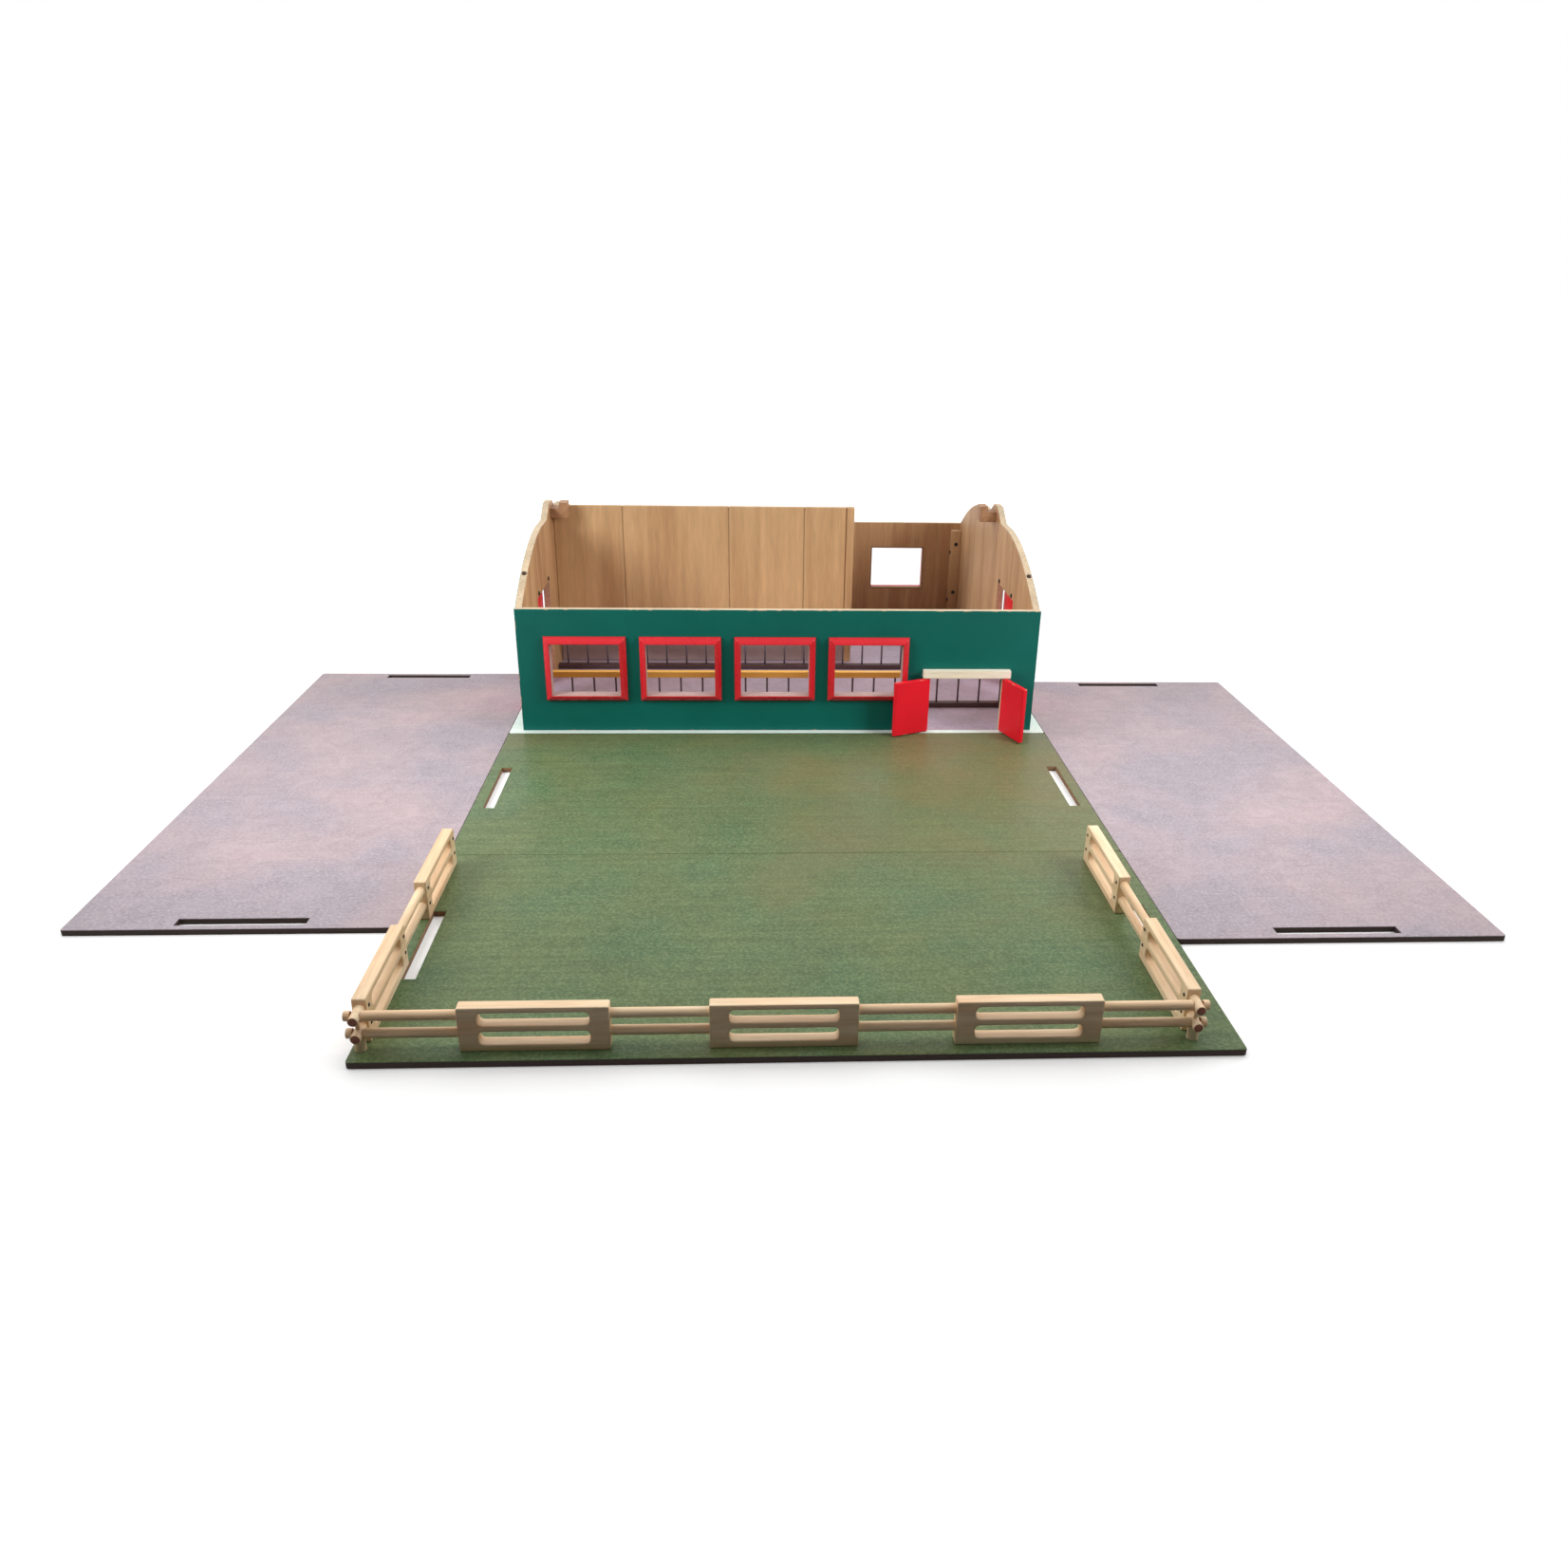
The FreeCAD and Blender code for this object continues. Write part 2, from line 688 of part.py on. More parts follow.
def front_rails():
    """Round rails of the front run. Those at the ends are half-lapped over the side rails."""
    reach = fence_half_span + rail_overhang
    first_board = fence_shift - (front_board_count - 1) * fence_pitch / 2 - fence_board_length / 2
    spans = [(fence_shift - reach, first_board + rail_seat)]
    for i in range(front_board_count - 1):
        left = first_board + fence_board_length + i * fence_pitch
        spans.append((left - rail_seat, left + rail_gap + rail_seat))
    last_board = first_board + (front_board_count - 1) * fence_pitch + fence_board_length
    spans.append((last_board - rail_seat, fence_shift + reach))
    corners = [fence_shift - fence_half_span, fence_shift + fence_half_span]
    rails = []
    for height in rail_heights:
        z = floor_z + height
        cuts = [lap(x, fence_front_y, z, True) for x in corners]
        cuts += [corner_pin_hole(x) for x in corners] + fence_nails(fit_clearance)
        for x0, x1 in spans:
            rail = rod(rail_diameter, Vector(x0, fence_front_y, z), Vector(x1, fence_front_y, z))
            rails.append(cut_all(rail, cuts))
    return rails


def side_rails(side):
    """Round rails of a side run: from the corner, between the boards, and the plugs of the last board's end."""
    x = fence_shift + side * fence_half_span
    near_board = fence_front_y + corner_lead
    spans = [(fence_front_y - rail_overhang, near_board + rail_seat)]
    for i in range(side_board_count - 1):
        start = near_board + fence_board_length + i * fence_pitch
        spans.append((start - rail_seat, start + rail_gap + rail_seat))
    end = near_board + (side_board_count - 1) * fence_pitch + fence_board_length
    spans.append((end - rail_seat, end))
    rails = []
    for height in rail_heights:
        z = floor_z + height
        cuts = [lap(x, fence_front_y, z, False), corner_pin_hole(x)] + fence_nails(fit_clearance)
        for y0, y1 in spans:
            rails.append(cut_all(rod(rail_diameter, Vector(x, y0, z), Vector(x, y1, z)), cuts))
    return rails


def corner_pegs():
    """A foot under each fence corner, with a pin up through both rail crossings."""
    lowest, highest = rail_heights
    pegs = []
    for side in (-1, 1):
        x = fence_shift + side * fence_half_span
        base = Vector(x, fence_front_y, floor_z)
        foot = rod(foot_diameter, base, base + Vector(0, 0, lowest))
        crossing = Vector(x, fence_front_y, floor_z + lowest)
        seat = rail_diameter + 2 * fit_clearance
        for across in (Vector(foot_diameter, 0, 0), Vector(0, foot_diameter, 0)):
            foot = foot.cut(rod(seat, crossing - across, crossing + across))
        pin = rod(corner_pin_diameter, base, base + Vector(0, 0, highest + rail_diameter / 2))
        pegs.append(foot.fuse(pin).removeSplitter())
    return pegs


def stable_pieces():
    """Everything that is fixed to the stable, by name."""
    pieces = {
        "floor_board": floor_board(),
        "front_wall": front_wall(),
        "rear_wall": rear_wall(),
        "left_gable": gable(-1),
        "right_gable": gable(1),
        "partition_planks": partition_planks(),
        "partition_end_post": partition_end_post(),
        "partition_cleats": partition_cleats(),
        "corner_posts": corner_posts(),
        "corner_screws": corner_screws(),
        "floor_screws": [floor_screw(place) for place in floor_screw_places()],
        "rear_window_frame": window_frame(rear_window_x, stable_depth, 1),
        "front_lintel": front_lintel(),
        "left_lintel": gable_lintel(-1),
        "right_lintel": gable_lintel(1),
        "lintel_screws": lintel_screws(),
        "roof_pegs": roof_pegs(),
        "left_ridge_cradle": ridge_cradle(-1),
        "right_ridge_cradle": ridge_cradle(1),
    }
    for number, x in enumerate(window_centres(), 1):
        pieces["window_frame_" + str(number)] = window_frame(x, 0, -1)
    for name, y in (("front", front_feed_y), ("rear", rear_feed_y)):
        pieces[name + "_feed_curb"] = feed_curb(y)
        pieces[name + "_feed_bars"] = feed_bars(y)
        pieces[name + "_feed_beam"] = feed_beam(y)
    return pieces


def door_pieces():
    """Six door leaves and their pins, by name."""
    pieces = {}
    for name, axis, heading, turn, opening, half_width, doorway_height in leaf_places():
        pieces[name] = door_leaf(axis, heading, turn, opening, half_width, doorway_height)
        pieces[name + "_pins"] = leaf_pins(axis, doorway_height)
    return pieces


def ground_pieces():
    """Pasture and yard boards, by name."""
    return {
        "rear_pasture": pasture(rear_pasture_y),
        "front_pasture": pasture(front_pasture_y),
        "left_yard": yard(-1, left_yard_reach),
        "right_yard": yard(1, right_yard_reach),
    }


def fence_pieces():
    """Boards, rails, corner pegs and nails of the loose fence, by name."""
    pieces = {name: placed(fence_board(), place, turn) for name, place, turn in fence_places()}
    pieces["fence_front_rails"] = front_rails()
    pieces["fence_left_rails"] = side_rails(-1)
    pieces["fence_right_rails"] = side_rails(1)
    pieces["fence_corner_pegs"] = corner_pegs()
    pieces["fence_nails"] = fence_nails()
    return pieces


def main():
    """Write each piece, or group of like pieces, to its own file."""
    os.makedirs("parts", exist_ok=True)
    pieces = {**stable_pieces(), **door_pieces(), **ground_pieces(), **fence_pieces()}
    for name, shape in pieces.items():
        whole = Part.makeCompound(shape) if isinstance(shape, list) else shape
        whole.translate(to_origin)
        whole.exportStep("parts/" + name + ".step")


if __name__ == "__main__":
    main()
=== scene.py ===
import json
import math

import bmesh
import bpy
from mathutils import Matrix, Vector
from mathutils.geometry import tessellate_polygon


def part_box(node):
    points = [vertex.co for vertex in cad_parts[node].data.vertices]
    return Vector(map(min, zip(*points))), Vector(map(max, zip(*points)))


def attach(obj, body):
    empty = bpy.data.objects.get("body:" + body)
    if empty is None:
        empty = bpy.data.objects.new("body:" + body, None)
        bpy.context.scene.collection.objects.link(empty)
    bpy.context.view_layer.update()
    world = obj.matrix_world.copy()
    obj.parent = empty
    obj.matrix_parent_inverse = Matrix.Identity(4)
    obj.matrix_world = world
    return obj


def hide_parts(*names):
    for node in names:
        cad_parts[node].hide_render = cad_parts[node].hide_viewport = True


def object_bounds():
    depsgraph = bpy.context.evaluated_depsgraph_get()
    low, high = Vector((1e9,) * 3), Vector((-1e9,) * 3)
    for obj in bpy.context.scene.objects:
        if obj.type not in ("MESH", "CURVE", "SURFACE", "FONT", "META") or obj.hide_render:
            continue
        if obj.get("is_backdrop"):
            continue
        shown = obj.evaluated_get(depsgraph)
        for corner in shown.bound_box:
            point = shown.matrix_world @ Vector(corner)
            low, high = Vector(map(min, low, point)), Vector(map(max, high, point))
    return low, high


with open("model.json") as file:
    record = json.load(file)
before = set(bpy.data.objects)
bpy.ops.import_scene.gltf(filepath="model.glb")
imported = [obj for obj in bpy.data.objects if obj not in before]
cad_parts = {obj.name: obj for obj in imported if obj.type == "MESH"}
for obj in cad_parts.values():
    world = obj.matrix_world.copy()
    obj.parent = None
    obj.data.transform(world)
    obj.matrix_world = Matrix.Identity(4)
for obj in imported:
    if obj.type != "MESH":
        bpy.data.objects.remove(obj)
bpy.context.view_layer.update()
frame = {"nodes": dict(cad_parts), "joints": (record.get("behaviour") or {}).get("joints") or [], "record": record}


# Floor board
# The sheet of fibreboard that carries the walls. Inside the walls its top is printed like trowelled concrete
# under a satin film, and the margin outside is primed. Its back is bare, its sawn edges are scorched, and
# screws come up through it into the walls.
concrete_colours = ((170, 151, 155), (148, 140, 149), (190, 172, 173))
floor_colours = ((176, 156, 172), (155, 145, 163), (194, 176, 187))
concrete_patches = 6.0
concrete_flecks = 330.0
concrete_streaks = 0.03
concrete_gloss = 0.42
film_shine = 0.14
cloud_span = (0.3, 0.7)
patch_span = (0.36, 0.64)
mottle_scale = 48.0
mottle_tones = (0.9, 1.1)
fleck_span = (0.42, 0.8)
fleck_shares = (0.0, 0.8)
streak_stretch = (0.05, 1.0, 1.0)
streak_scale = 160.0
streak_signs = (-1.0, 1.0)
handling_scale = 9.0
handling_shares = (0.9, 1.15)
felt_scale = 420.0
felt_tones = (0.8, 1.2)
felt_span = (0.2, 0.8)
felt_roughness = (0.7, 0.95)
felt_bump = 0.3
felt_patches = 30.0
felt_patch_tones = (0.85, 1.12)
bump_distance = 0.0002
primer_colour = (222, 236, 228)
primer_patches = 60.0
primer_tones = (0.94, 1.05)
primer_fade = (0.0, 0.0004)
board_back_colour = (150, 116, 84)
scorched_edge_colour = (62, 49, 43)
sheet_ease = 0.0005
sheet_corner = 0.003
rim_band = 0.001
least_radius = 0.00005
corner_steps = 3
ease_steps = 2
edge_rows = 3
sharp_angle = math.radians(40)
print_above = (1, 0, 2, 2)
X, Y, Z = range(3)


def srgb(levels):
    """Colour socket value for display levels from 0 to 255."""
    shares = [level / 255 for level in levels]
    return [x / 12.92 if x <= 0.04045 else ((x + 0.055) / 1.055) ** 2.4 for x in shares] + [1.0]


def wired(tree, inputs, values):
    """Sets inputs to plain values, or links them to other nodes' outputs."""
    for key, value in values.items():
        if isinstance(value, bpy.types.NodeSocket):
            tree.links.new(value, inputs[key])
        else:
            inputs[key].default_value = value


def add(tree, kind, values=(), **settings):
    """Outputs of a new node with these input values and settings."""
    node = tree.nodes.new(kind)
    for key, value in settings.items():
        setattr(node, key, value)
    wired(tree, node.inputs, dict(values))
    return node.outputs


def noise(tree, vector, scale, detail=3.0, distortion=0.0):
    """Soft cloud value from 0 to 1. The scale counts clouds per metre."""
    values = {"Vector": vector, "Scale": scale, "Detail": detail, "Distortion": distortion}
    return add(tree, "ShaderNodeTexNoise", values)[0]


def ranged(tree, value, span, tones=(0.0, 1.0)):
    """Value moved from one span to another and held inside it."""
    ends = dict(zip(("From Min", "From Max", "To Min", "To Max"), (*span, *tones)))
    return add(tree, "ShaderNodeMapRange", {"Value": value, **ends})[0]


def clouds(tree, vector, scale, tones=(0.0, 1.0), span=cloud_span, **softness):
    """Soft clouds from one tone to another."""
    return ranged(tree, noise(tree, vector, scale, **softness), span, tones)


def mixed(tree, share, first, second):
    """Colour that goes from first to second as share goes from 0 to 1."""
    return add(tree, "ShaderNodeMix", {0: share, 6: first, 7: second}, data_type="RGBA")[2]


def toned(tree, colour, value):
    """Colour made darker or lighter by a value around 1."""
    return add(tree, "ShaderNodeHueSaturation", {"Color": colour, "Value": value})[0]


def maths(tree, operation, *values):
    """Number worked out from others."""
    return add(tree, "ShaderNodeMath", dict(enumerate(values)), operation=operation)[0]


def vector_maths(tree, operation, *values):
    """Vector worked out from others, or a number where the operation gives one."""
    results = add(tree, "ShaderNodeVectorMath", dict(enumerate(values)), operation=operation)
    return results["Value" if operation in ("DISTANCE", "LENGTH", "DOT_PRODUCT") else "Vector"]


def node_group(name, inputs, outputs, kind="ShaderNodeTree"):
    """New node group with named sockets, what its start gives and what its end takes."""
    tree = bpy.data.node_groups.new(name, kind)
    for direction, sockets in (("INPUT", inputs), ("OUTPUT", outputs)):
        for label, socket in sockets.items():
            tree.interface.new_socket(label, in_out=direction, socket_type="NodeSocket" + socket)
    return tree, add(tree, "NodeGroupInput"), tree.nodes.new("NodeGroupOutput").inputs


def reopened(material):
    """A material's node tree, its shader's inputs and its place on the piece."""
    tree = material.node_tree
    return tree, tree.nodes["Principled BSDF"].inputs, tree.nodes["Texture Coordinate"].outputs["Object"]


def new_material(name):
    """New material, with what reopened gives of it."""
    material = bpy.data.materials.new(name)
    material.use_nodes = True
    add(material.node_tree, "ShaderNodeTexCoord")
    return material, *reopened(material)


def overlaid(tree, shader, share, colour):
    """Lays a colour over a material's own, as share goes from 0 to 1."""
    own = shader["Base Color"].links[0].from_socket
    wired(tree, shader, {"Base Color": mixed(tree, share, own, colour)})


def bumped(tree, height, strength):
    """Surface normal with small heights on it."""
    values = {"Height": height, "Strength": strength, "Distance": bump_distance}
    return add(tree, "ShaderNodeBump", values)[0]


printed, given, made = node_group(
    "printed film",
    dict(Place="Vector", Ground="Color", Patch="Color", Fleck="Color", Patches="Float", Flecks="Float",
         Streaks="Float", Gloss="Float"),
    dict(Color="Color", Roughness="Float"))
place = given["Place"]
patches = clouds(printed, place, given["Patches"], span=patch_span, distortion=0.3)
mottle = clouds(printed, place, mottle_scale, mottle_tones, detail=5.0, distortion=1.2)
flecks = clouds(printed, place, given["Flecks"], fleck_shares, fleck_span, detail=4.0)
drawn = vector_maths(printed, "MULTIPLY", place, streak_stretch)
lines = clouds(printed, drawn, streak_scale, streak_signs, detail=5.0)
streaks = maths(printed, "MULTIPLY_ADD", lines, given["Streaks"], 1.0)
soft = toned(printed, mixed(printed, patches, given["Ground"], given["Patch"]), mottle)
soft = toned(printed, mixed(printed, flecks, soft, given["Fleck"]), streaks)
handled = clouds(printed, place, handling_scale, handling_shares)
wired(printed, made, {"Color": soft, "Roughness": maths(printed, "MULTIPLY", handled, given["Gloss"])})


def printed_sheet(name, colours, patches, flecks, streaks, gloss, shine):
    """Material of a board with a printed film on it. colours are its ground, patch and fleck."""
    material, tree, shader, place = new_material(name)
    ground, patch, fleck = [srgb(colour) for colour in colours]
    values = dict(Place=place, Ground=ground, Patch=patch, Fleck=fleck, Patches=patches, Flecks=flecks,
                  Streaks=streaks, Gloss=gloss)
    sheet = add(tree, "ShaderNodeGroup", values, node_tree=printed)
    wired(tree, shader, {
        "Base Color": sheet["Color"], "Roughness": sheet["Roughness"], "Specular IOR Level": shine})
    return material


def sawn_fibre(name, colour):
    """Material of a raw fibreboard face: felted fibres, matt."""
    material, tree, shader, place = new_material(name)
    felt = noise(tree, place, felt_scale, detail=4.0)
    fibres = toned(tree, srgb(colour), ranged(tree, felt, cloud_span, felt_tones))
    wired(tree, shader, {
        "Base Color": toned(tree, fibres, clouds(tree, place, felt_patches, felt_patch_tones)),
        "Roughness": ranged(tree, felt, felt_span, felt_roughness),
        "Normal": bumped(tree, felt, felt_bump)})
    return material


def new_shape():
    """Empty shape. Its points hold their place in the grain, and whether they lie on a rim."""
    shape = bmesh.new()
    shape.verts.layers.float_vector.new("grain")
    shape.verts.layers.float.new("rim")
    return shape


def others(axis):
    """The two other axes."""
    return [other for other in range(3) if other != axis]


def inset(loop, distance):
    """Closed loop of flat points, moved by distance into the material on its left."""
    moved = []
    for i, point in enumerate(loop):
        before = (point - loop[i - 1]).normalized()
        after = (loop[(i + 1) % len(loop)] - point).normalized()
        left = Vector((-before.y - after.y, before.x + after.x))
        moved.append(point + left * distance / (1 + before.dot(after)))
    return moved


def rounded(corners, radius):
    """Closed loop of flat points with its corners rounded."""
    smooth = []
    for i, corner in enumerate(corners):
        start = corner + (corners[i - 1] - corner).normalized() * radius
        end = corner + (corners[(i + 1) % len(corners)] - corner).normalized() * radius
        for k in range(corner_steps + 1):
            t = k / corner_steps
            smooth.append(start * (1 - t) ** 2 + corner * 2 * t * (1 - t) + end * t ** 2)
    return smooth


def cut_board(shape, thin, low, high, outline, holes=(), along=X, shift=0.0, ease=sheet_ease,
              kinds=(0, 0, 0, 0), radius=0.0, hole_radius=0.0):
    """Adds an eased board cut from flat stock. Its outline lies across axis thin, from low to high.
    kinds are the finishes of its low face, its high face, its outer edges and the edges of its holes."""
    grain = shape.verts.layers.float_vector["grain"]
    rim = shape.verts.layers.float["rim"]
    flat = others(thin)
    order = [along] + others(along)
    loops = []
    for points, sign in [(outline, 1)] + [(hole, -1) for hole in holes]:
        loop = [Vector(point) for point in points]
        area = sum(loop[i - 1].cross(loop[i]) for i in range(len(loop)))
        loops.append((loop if area * sign > 0 else loop[::-1], sign, radius if sign > 0 else hole_radius))
    band = min(rim_band, (high - low - 2 * ease) / 4)
    profile = [(ease + band, low, 0.0)]
    for i in range(ease_steps + 1):
        turn = math.pi / 2 * i / ease_steps
        profile.append((ease * (1 - math.sin(turn)), low + ease * (1 - math.cos(turn)), 1.0))
    profile.append((0.0, low + ease + band, 0.0))
    profile += [(depth, low + high - height, mark) for depth, height, mark in reversed(profile)]
    rows = []
    for depth, height, mark in profile:
        row = []
        for loop, sign, turn_radius in loops:
            points = inset(loop, depth)
            if turn_radius:
                points = rounded(points, max(turn_radius - sign * depth, least_radius))
            ring = []
            for point in points:
                place = Vector([height] * 3)
                place[flat[0]], place[flat[1]] = point
                vert = shape.verts.new(place)
                vert[grain] = Vector([place[axis] + shift for axis in order])
                vert[rim] = mark
                ring.append(vert)
            row.append(ring)
        rows.append(row)
    first_edge = ease_steps + 1
    for level, (lower, upper) in enumerate(zip(rows, rows[1:])):
        side = 0 if level < first_edge else 2 if level < first_edge + edge_rows else 1
        for number, (below, above) in enumerate(zip(lower, upper)):
            kind = kinds[3 if side == 2 and number else side]
            for i in range(len(below)):
                face = shape.faces.new((below[i - 1], below[i], above[i], above[i - 1]))
                face.material_index = kind
                face.smooth = True
    for row, kind in ((rows[0], kinds[0]), (rows[-1], kinds[1])):
        verts = [vert for ring in row for vert in ring]
        for corners in tessellate_polygon([[vert.co for vert in ring] for ring in row]):
            face = shape.faces.new([verts[i] for i in corners])
            face.material_index = kind


def meshed(shape, name):
    """Mesh made from a shape, with its faces turned outwards."""
    bmesh.ops.recalc_face_normals(shape, faces=shape.faces)
    mesh = bpy.data.meshes.new(name)
    shape.to_mesh(mesh)
    shape.free()
    return mesh


def linked(name, data):
    """New object in the scene."""
    thing = bpy.data.objects.new(name, data)
    bpy.context.scene.collection.objects.link(thing)
    return thing


def placed(piece, body, node):
    """Makes a piece ride on a body and stand for a node of the frame."""
    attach(piece, body)
    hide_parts(node)


def finished(shape, name, body, slot, node, *materials):
    """Turns a shape into a piece with its materials."""
    mesh = meshed(shape, name)
    mesh.set_sharp_from_angle(angle=sharp_angle)
    for material in materials:
        mesh.materials.append(material)
    placed(linked(name, mesh), body, node)


def rectangle(u0, u1, v0, v1):
    """Corners of an upright rectangle."""
    return [(u0, v0), (u1, v0), (u1, v1), (u0, v1)]


concrete_film = (concrete_patches, concrete_flecks, concrete_streaks, concrete_gloss, film_shine)
concrete_print = printed_sheet("concrete print", concrete_colours, *concrete_film)
floor_print = printed_sheet("floor print with primed margin", floor_colours, *concrete_film)
board_back = sawn_fibre("bare board back", board_back_colour)
scorched_edge = sawn_fibre("scorched sawn edge", scorched_edge_colour)

front_low, front_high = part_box("front_wall")
rear_low, rear_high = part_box("rear_wall")
stable_middle = (front_low + rear_high) / 2
stable_half = (rear_high - front_low) / 2
tree, shader, place = reopened(floor_print)
offset = vector_maths(tree, "ABSOLUTE", vector_maths(tree, "SUBTRACT", place, stable_middle))
beyond = add(tree, "ShaderNodeSeparateXYZ", {0: vector_maths(tree, "SUBTRACT", offset, stable_half)})
primed = ranged(tree, maths(tree, "MAXIMUM", beyond["X"], beyond["Y"]), primer_fade)
chalk = toned(tree, srgb(primer_colour), clouds(tree, place, primer_patches, primer_tones))
overlaid(tree, shader, primed, chalk)

low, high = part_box("floor_board")
shape = new_shape()
outline = rectangle(low.x, high.x, low.y, high.y)
cut_board(shape, Z, low.z, high.z, outline, kinds=print_above, radius=sheet_corner)
finished(shape, "concrete_floor_board", "stable", "concrete_print", "floor_board",
         floor_print, board_back, scorched_edge)


# Pasture and yard boards
# Loose sheets of fibreboard laid round the stable, two printed like mown grass, trodden to earth before the
# doorway, and two like the floor. Their edges are scorched, and two slots cut through each hold a fence
# board on edge.
grass_colours = ((77, 102, 68), (92, 105, 66), (124, 138, 98))
grass_patches = 9.0
grass_flecks = 380.0
grass_streaks = 0.12
grass_gloss = 0.36
grass_shine = 0.17
earth_colour = (126, 105, 72)
earth_grains = 240.0
earth_tones = (0.88, 1.12)
trodden_place = (0.235, -0.06, 0.0)
trodden_reach = (0.05, 0.42)
trodden_shares = (0.6, 0.0)
tread_scale = 8.0
tread_span = (0.3, 0.65)
tread_shares = (0.2, 1.0)
dry_scale = 2.7
dry_span = (0.52, 0.75)
dry_shares = (0.0, 0.5)
slot_length = 0.116
slot_width = 0.012
pasture_slot_inset = 0.018
yard_slot_inset = 0.013
print_above_slots = (1, 0, 2, 3)

grass_print = printed_sheet("grass print", grass_colours, grass_patches, grass_flecks, grass_streaks,
                            grass_gloss, grass_shine)
tree, shader, place = reopened(grass_print)
away = vector_maths(tree, "DISTANCE", place, trodden_place)
treads = clouds(tree, place, tread_scale, tread_shares, tread_span, detail=4.0, distortion=0.5)
trodden = maths(tree, "MULTIPLY", ranged(tree, away, trodden_reach, trodden_shares), treads)
dry = clouds(tree, place, dry_scale, dry_shares, dry_span, detail=4.0, distortion=0.4)
earth = toned(tree, srgb(earth_colour), clouds(tree, place, earth_grains, earth_tones, detail=4.0))
overlaid(tree, shader, maths(tree, "MAXIMUM", trodden, dry), earth)


def slot_hole(x, y, along_x, along_y):
    """Outline of a slot round its middle point."""
    return rectangle(x - along_x / 2, x + along_x / 2, y - along_y / 2, y + along_y / 2)


for node in ("rear_pasture", "front_pasture", "left_yard", "right_yard"):
    low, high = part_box(node)
    middle = (low + high) / 2
    grassy = node.endswith("pasture")
    if grassy:
        slots = [slot_hole(x, middle.y, slot_width, slot_length)
                 for x in (low.x + pasture_slot_inset, high.x - pasture_slot_inset)]
    else:
        slots = [slot_hole(middle.x, y, slot_length, slot_width)
                 for y in (low.y + yard_slot_inset, high.y - yard_slot_inset)]
    shape = new_shape()
    outline = rectangle(low.x, high.x, low.y, high.y)
    cut_board(shape, Z, low.z, high.z, outline, slots, kinds=print_above_slots, radius=sheet_corner)
    finished(shape, node + "_board", node, "pasture_print" if grassy else "concrete_print", node,
             grass_print if grassy else concrete_print, board_back, scorched_edge,
             board_back if grassy else scorched_edge)


# Walls
# Four panels of fibreboard with a veneer of light wood inside and satin green paint outside. Windows and
# doorways are sawn out, and the cut edges stay bare. The front and rear panels lap over the gables' ends.
wall_green = (10, 98, 88)
wall_gloss = 0.36
wall_shine = 0.2
veneer_pale = (206, 166, 120)
veneer_dark = (168, 122, 82)
veneer_bands = 34.0
veneer_roughness = 0.55
cut_edge_colour = (197, 176, 146)
timber_stretch = (0.07, 1.0, 1.0)
timber_fibres = 620.0
timber_fibre_tones = (1.06, 0.9)
timber_streaks = 130.0
timber_streak_span = (0.35, 0.7)
timber_streak_tones = (1.05, 0.92)
timber_rim_span = (0.4, 1.0)
timber_rim_tones = (1.0, 0.86)
timber_polish = (-0.08, 0.1)
timber_bump = 0.25
paint_shine = 0.3
paint_clouds = 11.0
paint_tones = (0.92, 1.08)
paint_stipple = 760.0
paint_bump = 0.15
paint_rubs = 90.0
rub_span = (0.5, 0.66)
wear_span = (0.4, 0.9)
wear_shares = (0.0, 0.6)
polish_scale = 45.0
polish_shares = (0.85, 1.2)
rubbed_wood = (222, 176, 140)
frame_width = 0.008
frame_liner = 0.002
lintel_overhang = 0.008
shoulder_z = 0.2265
shoulder_half_span = 0.090
ridge_half_foot = 0.045
ridge_half_flat = 0.012
roof_bow = 0.013
bow_steps = 14
rear_shift = 0.4
left_shift = 0.9
right_shift = 1.7
paint_low = (0, 1, 2, 2)
paint_high = (1, 0, 2, 2)

timber, given, made = node_group(
    "timber figure",
    dict(Grain="Vector", Rim="Float", Pale="Color", Dark="Color", Bands="Float"),
    dict(Color="Color", Height="Float"))
drawn = vector_maths(timber, "MULTIPLY", given["Grain"], timber_stretch)
figure = clouds(timber, drawn, given["Bands"], detail=4.0, distortion=0.7)
fibres = noise(timber, drawn, timber_fibres)
streaks = clouds(timber, drawn, timber_streaks, timber_streak_tones, timber_streak_span, detail=2.0)
soft = toned(timber, mixed(timber, figure, given["Pale"], given["Dark"]), streaks)
soft = toned(timber, soft, ranged(timber, fibres, cloud_span, timber_fibre_tones))
soft = toned(timber, soft, ranged(timber, given["Rim"], timber_rim_span, timber_rim_tones))
wired(timber, made, {"Color": soft, "Height": fibres})

film, given, made = node_group(
    "paint film",
    dict(Place="Vector", Rim="Float", Paint="Color", Bare="Color", Gloss="Float"),
    dict(Color="Color", Roughness="Float", Height="Float"))
place = given["Place"]
cover = clouds(film, place, paint_clouds, paint_tones, detail=4.0)
rubs = clouds(film, place, paint_rubs, span=rub_span, detail=5.0)
worn = ranged(film, maths(film, "MULTIPLY", rubs, given["Rim"]), wear_span, wear_shares)
polish = clouds(film, place, polish_scale, polish_shares)
wired(film, made, {
    "Color": mixed(film, worn, toned(film, given["Paint"], cover), given["Bare"]),
    "Roughness": maths(film, "MULTIPLY", polish, given["Gloss"]),
    "Height": noise(film, place, paint_stipple, detail=2.0)})


